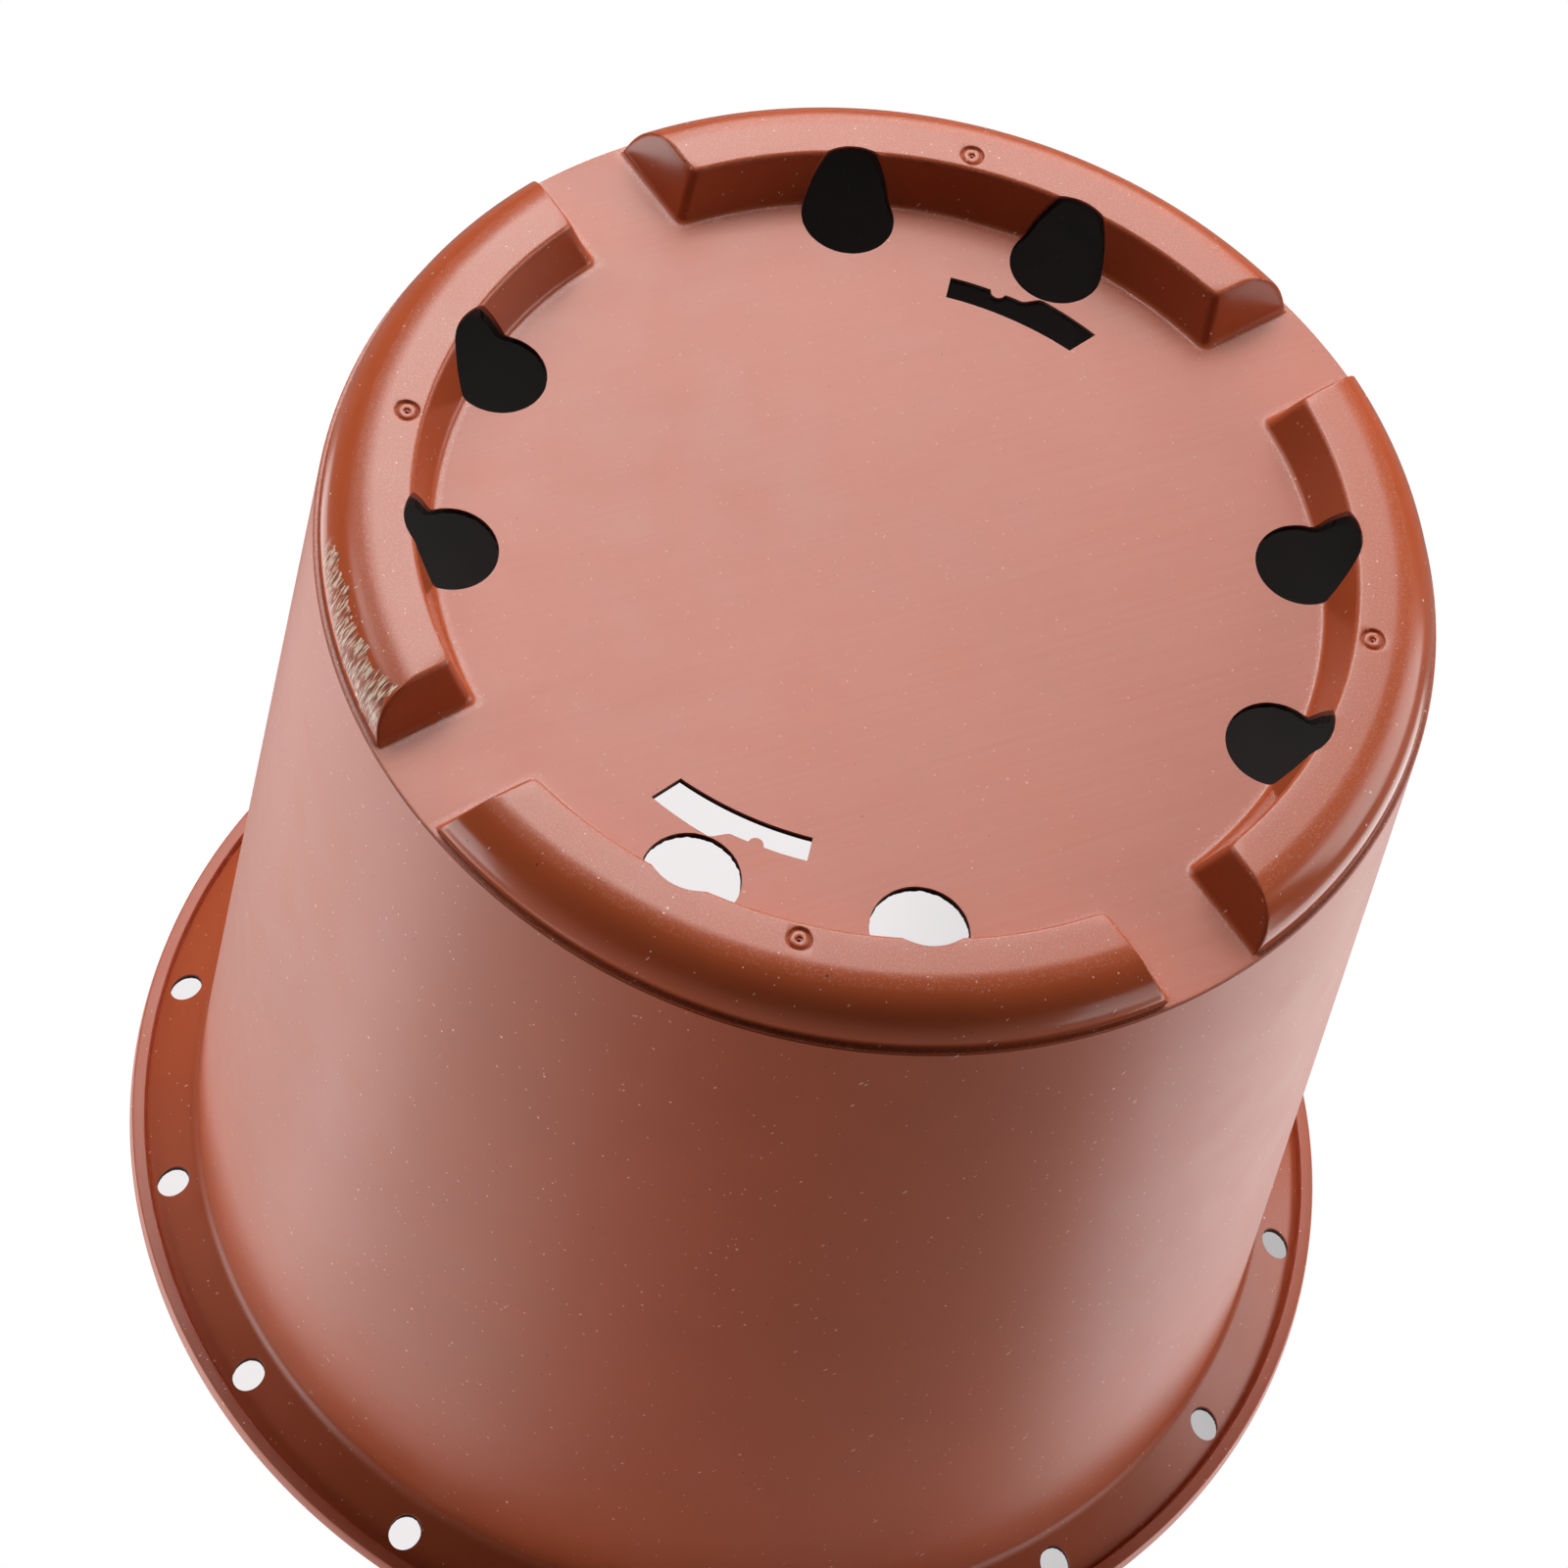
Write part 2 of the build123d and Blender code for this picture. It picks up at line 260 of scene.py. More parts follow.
# Outlines: rows of (radius from the axis, height, corner radius, steps round the corner)


def runs_of(corners):
    """Unit direction and length of each run between two corners."""
    steps = np.diff(corners[:, :2], axis=0)
    lengths = np.linalg.norm(steps, axis=1)
    return steps / lengths[:, None], lengths


def moved(corners, depth):
    """An open outline moved by depth to its left. A corner goes along its mitre, which is depth times
    the sum of the two runs' left normals over one plus the cosine of the turn. A corner radius shrinks
    where the outline turns left and grows where it turns right. The ends keep their level or upright."""
    ways, _ = runs_of(corners)
    before, after = ways[:-1], ways[1:]
    mitre = depth / (1 + (before * after).sum(axis=1))
    result = corners.copy()
    result[1:-1, 0] -= (before[:, 1] + after[:, 1]) * mitre
    result[1:-1, 1] += (before[:, 0] + after[:, 0]) * mitre
    turns_left = before[:, 0] * after[:, 1] > before[:, 1] * after[:, 0]
    rounded = corners[1:-1, 2] > 0
    change = np.where(turns_left, -depth, depth) * rounded
    least = np.where(rounded, LEAST_CORNER, 0)
    result[1:-1, 2] = np.maximum(corners[1:-1, 2] + change, least)
    for end, way in ((0, ways[0]), (-1, ways[-1])):
        if abs(way[0]) > abs(way[1]):
            result[end, 1] += depth / way[0]
        else:
            result[end, 0] -= depth / way[1]
    return result


def reaches_of(corners, ways, lengths):
    """How far from each corner its arc starts: its radius times the tangent of half the turn, made
    smaller where two arcs have no room on the run between them."""
    turns = np.arccos(np.clip((ways[:-1] * ways[1:]).sum(axis=1), -1, 1))
    reaches = np.zeros(len(corners))
    reaches[1:-1] = corners[1:-1, 2] * np.tan(turns / 2)
    need = reaches[:-1] + reaches[1:]
    fits = np.minimum(1, ARC_ROOM * lengths / np.maximum(need, TINY))
    fit = np.minimum(np.append(fits, 1), np.insert(fits, 0, 1))
    return reaches * fit, turns


def sampled(corners, run_steps):
    """Points along an open outline. A corner's arc of radius R starts at A along the unit way u, bends
    towards the unit side v, and its point at angle t is A + R (sin t u + (1 - cos t) v). A run is
    divided into its own number of steps."""
    ways, lengths = runs_of(corners)
    reaches, turns = reaches_of(corners, ways, lengths)
    places = [corners[:1, :2]]
    for i in range(1, len(corners)):
        start = corners[i, :2] - ways[i - 1] * reaches[i]
        share = np.linspace(0, 1, run_steps[i - 1] + 1)[1:, None]
        places.append(places[-1][-1] + (start - places[-1][-1]) * share)
        if reaches[i] > 0:
            turn = turns[i - 1]
            side = (ways[i] - ways[i - 1] * cos(turn)) / sin(turn)
            arc = np.linspace(0, turn, int(corners[i, 3]) + 1)[1:, None]
            radius = reaches[i] / tan(turn / 2)
            places.append(start + radius * (np.sin(arc) * ways[i - 1] + (1 - np.cos(arc)) * side))
    return np.concatenate(places)


def foot_corners(form):
    """The outline from the floor round a foot to the wall's start."""
    foot = form.foot
    return np.array([
        (form.patch_start, foot.height, 0, 0),
        (form.foot_base, foot.height, foot.fillet, FLOOR_ARC_STEPS),
        (form.flat_inner, 0, foot.edge, FLOOR_ARC_STEPS),
        (form.reach - LAND_LEAN, 0, foot.shoulder, SHOULDER_STEPS),
        (form.reach + LAND_LEAN, foot.height, foot.flare, FLARE_STEPS),
        (form.pot.base_radius, foot.height, 0, 0),
    ])


def wall_corners(form):
    """The outline of the outside from the wall's start to the mouth."""
    rim, lip_lean = form.rim, (form.pot.height - form.lip_bottom_z) * tan(form.rim.lip_draft)
    return np.array([
        (form.pot.base_radius, form.foot.height, 0, 0),
        (form.corner_radius, form.corner_z, rim.corner, 2 * CORNER_STEPS),
        (form.crease_radius, form.crease_z, 0, 0),
        (form.crease_radius + rim.lip_inner_run, form.lip_bottom_z, rim.lip_edge, CORNER_STEPS),
        (form.lip_radius - lip_lean, form.lip_bottom_z, rim.lip_edge, CORNER_STEPS),
        (form.lip_radius, form.pot.height, 0, 0),
    ])


def inside_wall_corners(form):
    """The outline that the inside follows, whose flange runs on to the mouth without a lip."""
    mouth_radius = form.corner_radius + (form.pot.height - form.corner_z) / tan(form.rim.slope)
    return np.array([
        (form.pot.base_radius, form.foot.height, 0, 0),
        (form.corner_radius, form.corner_z, form.rim.corner, 2 * CORNER_STEPS),
        (mouth_radius, form.pot.height, 0, 0),
    ])


def at_level(corners, level, run=0):
    """The point at a height on one of an outline's runs, the first unless told otherwise."""
    (x, z), (x2, z2) = corners[run, :2], corners[run + 1, :2]
    return x + (x2 - x) * (level - z) / (z2 - z), level


def crease_foot(form, outer):
    """The point on the flange's inside that lies nearest to the crease of an outer outline."""
    inside = moved(inside_wall_corners(form), form.depth)
    start, end = inside[1, :2], inside[2, :2]
    way = (end - start) / np.linalg.norm(end - start)
    return start + way * ((outer[2, :2] - start) @ way)


def closed_loop(corners):
    """A closed outline with rounded corners, sampled from the middle of its first side."""
    rows = np.asarray(corners, float)
    middle = [(*(rows[0, :2] + rows[1, :2]) / 2, 0, 0)]
    path = np.concatenate([middle, rows[1:], rows[:1], middle])
    return sampled(path, [1] * (len(path) - 1))[:-1]


# Meshes


def grid_faces(rows, columns, wrap_rows=False, wrap_columns=False):
    """Four corner numbers for each cell of a grid whose points are numbered row by row. They are
    ordered so that a cell faces down where rows run outwards and columns anticlockwise."""
    i = np.arange(rows if wrap_rows else rows - 1)[:, None]
    j = np.arange(columns if wrap_columns else columns - 1)[None, :]
    below, beside = (i + 1) % rows, (j + 1) % columns
    cells = [i * columns + j, i * columns + beside, below * columns + beside, below * columns + j]
    return np.stack([cell.ravel() for cell in cells], axis=1)


def full_turn(steps):
    """Even angles round a full turn."""
    return np.linspace(0, 2 * pi, steps, endpoint=False)


def placed(radius, turn, level):
    """Points (r cos t, r sin t, z) at a radius r, an angle t and a height z."""
    return np.stack(np.broadcast_arrays(radius * np.cos(turn), radius * np.sin(turn), level), axis=-1)


def turned_by(points, turn):
    """Points turned about the pot's axis."""
    c, s = cos(turn), sin(turn)
    return points @ np.array([(c, s, 0), (-s, c, 0), (0, 0, 1)])


def new_piece(name, points, quads, others=()):
    """An object at the origin with this mesh. Others holds faces with any number of corners."""
    others = [np.asarray(face) for face in others]
    totals = np.concatenate([np.full(len(quads), 4), [len(face) for face in others]]).astype(np.int32)
    corners = np.concatenate([quads.ravel(), *others]).astype(np.int32)
    mesh = bpy.data.meshes.new(name)
    mesh.vertices.add(len(points))
    mesh.vertices.foreach_set("co", np.asarray(points, np.float32).ravel())
    mesh.loops.add(len(corners))
    mesh.loops.foreach_set("vertex_index", corners)
    mesh.polygons.add(len(totals))
    mesh.polygons.foreach_set("loop_start", np.concatenate([[0], np.cumsum(totals)[:-1]]).astype(np.int32))
    mesh.polygons.foreach_set("loop_total", totals)
    mesh.update(calc_edges=True)
    if mesh.validate():
        raise RuntimeError(f"{name} has faces that can't stand")
    piece = bpy.data.objects.new(name, mesh)
    bpy.context.scene.collection.objects.link(piece)
    return piece


def shell(name, outer, inner, quads, others=()):
    """A closed shell between two surfaces that share their faces. The inner surface's faces are turned
    round, and each open edge of the outer surface gets a face down to the same edge of the inner."""
    count = len(outer)
    ends = [np.stack([quads.ravel(), np.roll(quads, -1, axis=1).ravel()], axis=1)]
    ends += [np.stack([face, np.roll(face, -1)], axis=1) for face in others]
    edges = np.concatenate(ends)
    forward = edges[:, 0] * count + edges[:, 1]
    backward = edges[:, 1] * count + edges[:, 0]
    a, b = edges[~np.isin(forward, backward)].T
    sides = np.stack([b, a, a + count, b + count], axis=1)
    faces = np.concatenate([quads, quads[:, ::-1] + count, sides])
    turned = [np.asarray(face)[::-1] + count for face in others]
    return new_piece(name, np.concatenate([outer, inner]), faces, [*others, *turned])


def ring(name, loop):
    """A ring: a closed outline turned about the pot's axis."""
    points = placed(loop[:, :1], full_turn(RING_STEPS), loop[:, 1:2]).reshape(-1, 3)
    return new_piece(name, points, grid_faces(len(loop), RING_STEPS, True, True))


def stack(name, sections):
    """A closed solid through sections of equal numbers of points, with a flat end at each end.
    The sections run anticlockwise and upwards."""
    rows, columns = sections.shape[:2]
    quads = grid_faces(rows, columns, wrap_columns=True)
    ends = [np.arange(columns)[::-1], np.arange(columns) + (rows - 1) * columns]
    return new_piece(name, sections.reshape(-1, 3), quads, ends)


def cut(piece, cutters):
    """Takes the cutters away from the piece for good."""
    with bpy.context.temp_override(active_object=cutters[0], selected_editable_objects=cutters):
        bpy.ops.object.join()
    before = len(piece.data.vertices)
    change = piece.modifiers.new("cut", "BOOLEAN")
    change.operation, change.solver, change.object = "DIFFERENCE", "MANIFOLD", cutters[0]
    found = piece.evaluated_get(bpy.context.evaluated_depsgraph_get())
    result = bpy.data.meshes.new_from_object(found)
    piece.modifiers.clear()
    piece.data = result
    bpy.data.objects.remove(cutters[0])
    if len(result.vertices) == before:
        raise RuntimeError(f"{piece.name} wasn't cut")
    return piece


def finish_piece(piece, node, material):
    """Shades a piece smooth between its sharp edges and gives it its place and finish."""
    mesh = piece.data
    mesh.polygons.foreach_set("use_smooth", np.ones(len(mesh.polygons), bool))
    mesh.set_sharp_from_angle(angle=SHARP_ANGLE)
    mesh.materials.clear()
    mesh.materials.append(material)
    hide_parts(node)
    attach(piece, BODY)


# The base: the floor, its channels and the feet


class BaseLayer:
    """One depth below the outside of the base, as rows outwards from the floor to the ledge's edge.

    A row has a radius and two heights: of the foot's inner side, which holds as far as its flat, and
    of its shoulder. Past the flare the rows are the ledge's edge, which has its own height all round.
    """

    def __init__(self, form, depth):
        self.form, self.depth = form, depth
        steps = [1, FOOT_WALL_STEPS, FOOT_FLAT_STEPS, 1, 1]
        points = sampled(moved(foot_corners(form), depth), steps)[:-1]
        self.inner_rows = 2 + 2 * FLOOR_ARC_STEPS + FOOT_WALL_STEPS
        self.shoulder_rows = len(points)
        ledge = self.ledge_points(points[-1, 0])
        self.radius = np.concatenate([points[:, 0], ledge[:, 0]])
        self.level = np.concatenate([points[:, 1], ledge[:, 1]])
        self.inner_run = points[: self.inner_rows, 0] - form.foot_base
        self.inner_level = points[: self.inner_rows, 1]

    def ledge_points(self, start):
        """The end of the ledge: on the outside a small quarter round and a return into the groove, and
        on the inner depths a plain level run to the same line."""
        form, pot = self.form, self.form.pot
        top = form.foot.height + self.depth
        if self.depth > 0:
            share = np.linspace(0, 1, LEDGE_STEPS + 1)[1:]
            return np.stack([start + (form.base_edge - start) * share, 0 * share + top], axis=1)
        turn = np.linspace(0, pi / 2, LEDGE_STEPS - 1)
        edge, outer = pot.ledge_edge, pot.base_radius - LEDGE_INSET
        bend = np.stack([outer - edge + edge * np.sin(turn), top + edge * (1 - np.cos(turn))], axis=1)
        back = [(form.base_edge, top + edge + GROOVE_LIFT)]
        return np.concatenate([bend, back])

    def heights(self, run_in, run_side):
        """Height of the base at each row and column. run_in and run_side are how far a point lies past
        the foot's base line towards the foot, along the radius and square to the channel. Their lesser
        rules, and near the plan corner a circle of the corner's radius joins them. The inner side's
        height at that run and the shoulder's height at that row are joined as the n-th root of the sum
        of n-th powers, which is their greater with a soft edge."""
        foot, depth = self.form.foot, self.depth
        corner = max(foot.plan_corner - depth, LEAST_PLAN_CORNER)
        apart = run_in - run_side
        square = np.maximum(2 * corner ** 2 - apart ** 2, 0)
        bend = (run_in + run_side) / 2 - corner + np.sqrt(square) / 2
        run = np.where(np.abs(apart) < corner, bend, np.minimum(run_in, run_side))
        inner = np.interp(run, self.inner_run, self.inner_level) - depth
        shoulder = np.zeros(len(self.radius))
        past_flat = self.inner_rows + FOOT_FLAT_STEPS
        shoulder[past_flat:] = self.level[past_flat:] - depth
        power = foot.shoulder_softness
        soft = (np.maximum(inner, 0) ** power + np.maximum(shoulder, 0)[:, None] ** power) ** (1 / power)
        height = depth + np.minimum(soft, foot.height)
        height[self.shoulder_rows:] = self.level[self.shoulder_rows:, None]
        return height


def foot_points(layer):
    """A foot with a margin of floor, on a grid of the layer's rows. The columns near each end are lines
    along the channel, as far from it as the inner side's own points, and those between turn evenly."""
    form = layer.form
    radius = layer.radius[:, None]
    near = np.arcsin((form.half_channel + layer.inner_run) / radius)
    first, last = near[:, -1:] - FOOT_STEP / 2, FOOT_STEP / 2 - near[:, -1:]
    share = np.linspace(0, 1, FOOT_SPAN_STEPS + 1)[1:-1]
    turn = np.hstack([near - FOOT_STEP / 2, first + (last - first) * share, FOOT_STEP / 2 - near[:, ::-1]])
    run_side = radius * np.sin(FOOT_STEP / 2 - np.abs(turn)) - form.half_channel
    height = layer.heights(radius - form.foot_base + 0 * turn, run_side)
    return placed(radius, turn, height), turn


def floor_points(layer):
    """The floor: rings out to the feet's margins, and beyond them a tongue in each channel. All rings
    share the columns of the feet and the tongues, so that the pieces meet point to point."""
    form = layer.form
    _, foot_turn = foot_points(layer)
    tongue = form.half_channel - FOOT_MARGIN
    share = np.linspace(-1, 1, CHANNEL_STEPS + 1)
    tongue_turn = FOOT_STEP / 2 + np.arcsin(tongue * share / layer.radius[:, None])
    one_step = np.concatenate([foot_turn[0, :-1], tongue_turn[0, :-1]])
    turn = (np.arange(FOOT_COUNT)[:, None] * FOOT_STEP + one_step).ravel()
    ring_radius = form.patch_start * np.linspace(FIRST_RING, 1, FLOOR_RINGS)[:, None]
    level = form.foot.height + layer.depth
    disc = placed(ring_radius, turn, level)
    beyond = layer.radius[1:, None]
    height = np.full((len(beyond), 1), level)
    height[layer.shoulder_rows - 1:, 0] = layer.level[layer.shoulder_rows:]
    out = placed(beyond, tongue_turn[1:], height)
    tongues = np.stack([turned_by(out, FOOT_STEP * n) for n in range(FOOT_COUNT)])
    return disc, tongues, foot_turn.shape[1] - 1


def floor_faces(disc, tongues, foot_columns):
    """Faces of the floor: the disc's cells, its middle, and each tongue's cells, whose first row is the
    disc's last ring."""
    rings, columns = disc.shape[:2]
    faces = [grid_faces(rings, columns, wrap_columns=True)]
    rows, across = tongues.shape[1:3]
    for n in range(FOOT_COUNT):
        first = rings * columns + n * rows * across
        own = first + np.arange(rows * across).reshape(rows, across)
        start = n * (foot_columns + CHANNEL_STEPS) + foot_columns
        shared = (rings - 1) * columns + (start + np.arange(across)) % columns
        numbers = np.vstack([shared, own])
        cells = grid_faces(rows + 1, across)
        faces.append(numbers.ravel()[cells])
    middle = np.arange(columns)[::-1]
    return np.concatenate(faces), [middle]


# Holes


def polar(radius, turn):
    """Points at a radius and an angle, level."""
    return np.stack([radius * np.cos(turn), radius * np.sin(turn)], axis=-1)


def upright(name, plan, bottom, top):
    """A prism over a closed plan, between two heights."""
    levels = [np.hstack([plan, np.full((len(plan), 1), z)]) for z in (bottom, top)]
    return stack(name, np.stack(levels))


def ragged_circle(radius, burr, seed):
    """A circle whose radius wanders by burr: a sum of sines of the angle with fixed, unlike phases."""
    turn = full_turn(HOLE_STEPS)
    phase = np.sin(BURR_WAVES * BURR_PHASE + seed * BURR_SEED_PHASE) * pi
    wander = (np.sin(BURR_WAVES * turn[:, None] + phase) * BURR_SIZES).sum(axis=1)
    return polar(radius + burr * (np.abs(wander) - 1), turn)


def drain_cutters(form, burr, feet):
    """The drain holes at the numbered feet. They run straight up through the base."""
    opening = form.opening
    cutters = []
    for n in feet:
        for side in (-1, 1):
            turn = FOOT_STEP * n + side * opening.drain_angle
            plan = ragged_circle(opening.drain_radius, burr, 2 * n + side) + polar(form.drain_circle, turn)
            cutters.append(upright("drain", plan, -CUT_OVERRUN, form.floor_top_z + CUT_OVERRUN))
    return cutters


def slot_plan(form, burr):
    """The plan of a slot beside the foot at angle zero. Its outer edge is the narrow radius less the
    half-round nub, then a smooth step out to the wide radius, then a straight fall to the wide end's."""
    opening = form.opening
    turn = np.linspace(opening.slot_start, opening.slot_end, SLOT_STEPS)
    step = np.clip((turn - opening.slot_step) / (opening.slot_step_end - opening.slot_step), 0, 1)
    fall = np.clip((turn - opening.slot_step_end) / (opening.slot_end - opening.slot_step_end), 0, 1)
    wide = opening.slot_wide + (opening.slot_wide_end - opening.slot_wide) * fall
    outer = opening.slot_narrow + (wide - opening.slot_narrow) * step ** 2 * (3 - 2 * step)
    along = (turn - opening.nub_angle) * opening.slot_narrow
    outer = outer - np.sqrt(np.maximum(opening.nub_radius ** 2 - along ** 2, 0))
    rough = burr * np.sin(turn * SLOT_BURR_WAVES[0]) * np.sin(turn * SLOT_BURR_WAVES[1])
    inner_turn = turn[::SLOT_INNER_STRIDE]
    return np.concatenate([polar(opening.slot_inner + 0 * inner_turn, inner_turn),
                           polar(outer + rough, turn)[::-1]])


def slot_cutters(form, burr):
    """The two slots, beside the back foot and the front foot."""
    cutters = []
    for n in range(SLOT_COUNT):
        turn = FOOT_STEP * (1 + 2 * n)
        c, s = cos(turn), sin(turn)
        plan = (slot_plan(form, burr) @ np.array([(c, s), (-s, c)]))[::-1]
        cutters.append(upright("slot", plan, form.foot.height - CUT_OVERRUN, form.floor_top_z + CUT_OVERRUN))
    return cutters


def gate_cutter(form, n):
    """The mark that moulding leaves on a foot: a recess, a raised disc, and a pit with a torn nub. It is
    turned about its own upright axis from rows of (radius, height)."""
    opening, deep = form.opening, form.opening.gate_depth
    rim, disc, pit = opening.gate_radius, opening.gate_disc, opening.gate_pit
    gap = rim - disc
    rows = np.array([
        (rim + 0.35 * gap, -GATE_OVERRUN),
        (rim + 0.35 * gap, -GATE_CLEAR),
        (rim + 0.08 * gap, 0.05 * deep),
        (rim - 0.10 * gap, 0.30 * deep),
        (rim - 0.35 * gap, 0.90 * deep),
        (rim - 0.50 * gap, deep),
        (rim - 0.65 * gap, 0.90 * deep),
        (disc + 0.10 * gap, 0.45 * deep),
        (disc - 0.12 * gap, 0.24 * deep),
        (pit + 0.30 * gap, 0.20 * deep),
        (pit, 0.35 * deep),
        (0.85 * pit, 0.95 * deep),
        (0.55 * pit, deep),
        (0.40 * pit, 0.35 * deep),
        (0.12 * pit, 0.15 * deep),
    ])
    turn = full_turn(MARK_STEPS)
    radius = rows[:, :1] * (1 + GATE_WANDER * np.sin(GATE_WAVES * turn + n))
    sections = placed(radius, turn, rows[:, 1:])
    sections[..., :2] += form.gate_circle * np.array([cos(FOOT_STEP * n), sin(FOOT_STEP * n)])
    return stack("gate", sections)


def rim_hole_cutters(form, burr):
    """The ring of holes through the flange."""
    cutters = []
    for n in range(RIM_HOLE_COUNT):
        turn = 2 * pi * n / RIM_HOLE_COUNT
        plan = ragged_circle(form.rim.hole_radius, burr, n) + polar(form.rim_hole_circle, turn)
        cutters.append(upright("rim_hole", plan, form.wall_top_z, form.pot.height + CUT_OVERRUN))
    return cutters


# Finishes. A noise has a scale per metre, a detail and a roughness. Streaks are turned about the three
# axes in degrees, then have scales, a detail and a roughness. Specks have cells per metre, a radius in
# cells and the share of the cells that hold one, and stretched specks are turned and scaled first.

CLOUDS = (16, 3, 0.55)
FINE_CLOUDS = (120, 4, 0.6)
GRAIN = (2600, 3, 0.6)
PEEL = (420, 2, 0.5)
SPARKLE = (4000, 1, 0.5)
DUST_PATCHES = (28, 2, 0.5)
POLISH_LINES = ((0, 0, 34), (30, 1500, 30), 3, 0.6)
POLISH_BANDS = ((0, 0, 31), (14, 330, 14), 2, 0.5)
TORN_STROKES = ((0, 0, 52), (650, 3800, 650), 2, 0.5)
RAGGED_EDGE = (420, 3, 0.6)
FINE_DUST = (750, 0.095)
FINE_DUST_SHARE = 0.6
COARSE_DUST = (330, 0.06, 0.5)
DARK_SPECKS = (450, 0.06, 0.2)
DUST_STROKES = ((25, 40, 38), (260, 1300, 1300), 0.13, 0.12)
CROSS_STROKES = ((-20, -50, -15), (300, 1400, 1400), 0.12, 0.07)
LINER_CLOUDS = (60, 4, 0.6)
LINER_GRAIN = (2200, 3, 0.6)
LINER_FINE_DUST = (700, 0.10, 0.3)
LINER_COARSE_DUST = (240, 0.06, 0.5)

# The part of a noise's range that a pattern spreads over, with what it becomes where that isn't 0 to 1
MIDDLE, WIDE, WIDER = (0.3, 0.7), (0.25, 0.75), (0.2, 0.8)
PATCHY, SPARKLING, HAZY = (0.35, 0.65, 0.3, 1.0), (0.5, 0.75), (0.4, 0.75)
TORN, GOUGED = (0.47, 0.60), (0.44, 0.38)

# How much a pattern changes the tone, the roughness or the bump
CLOUD_TONE, FINE_CLOUD_TONE, GRAIN_TONE = 0.06, 0.035, 0.03
CLOUD_GLOSS, MARK_GLOSS = 0.035, 0.2
GRAIN_BUMP, PEEL_BUMP, MARK_BUMP = 0.18, 0.5, 0.5
# The sparkle's tone paints glints on the feet as pale specks; its bump is real grain.
SPARKLE_SHARE, PAINTED_GLINT_TONE, SPARKLE_BUMP = 0.35, 0.15, 1.2
SIDE_GLOSS = -0.10           # the feet's sides are smoother than their flats
LINE_SHARE, BAND_SHARE = 0.6, 0.4
POLISH_TONE, POLISH_GLOSS, POLISH_BUMP = 0.05, 0.03, 0.4
CHALK_TONE, GOUGE_TONE, CHAFE_GLOSS, CHAFE_BUMP = 0.9, 0.6, 0.25, 5.0
HAZE_TONE, LINER_DUST_TONE, LINER_CLOUD_GLOSS, LINER_DUST_GLOSS = 0.12, 0.6, 0.05, 0.3
SKIN_BUMP_DEPTH, LINER_BUMP_DEPTH = 0.012 * MM, 0.008 * MM
FOOT_SPECULAR, LINER_SPECULAR, LINER_TINT = 0.43, 0.27, (1.0, 0.62, 0.62, 1.0)
PLASTIC_IOR = 1.49
# The lip's dust is fuller than elsewhere: partly real dust and partly painted sheen that lightens the lip.
FLOOR_DUSTY, LIP_DUST_AND_SHEEN, LIP_ROUGHER = 0.35, 1.0, 0.08

# Where a foot counts as flat: its lowest part, and the floor round it
FLAT_TOP, SIDE_BOTTOM = 0.4 * MM, 1.1 * MM
SIDE_TOP, FLOOR_BOTTOM = 6.2 * MM, 6.8 * MM

# The chafed patch on the right foot's shoulder
CHAFE_TURNS = tuple(radians(turn) for turn in (-39, -37.5, -18, -16))     # where it fades in and out
CHAFE_WIDE_TURN, CHAFE_NARROW_TURN = radians(-37), radians(-17)
CHAFE_HALF_WIDE, CHAFE_HALF_NARROW = 2.5 * MM, 1.2 * MM
CHAFE_LEVEL = 3.3 * MM               # of its middle line
CHAFE_RAGGED = 0.9 * MM              # how far its edges wander
CHAFE_LEAST_OUT = 62 * MM            # from the origin
END_WAY = (0.707, 0.707, 0.382)      # square to the foot's end
CHAFE_LEAST_END = 9.7 * MM           # along that way, from the origin


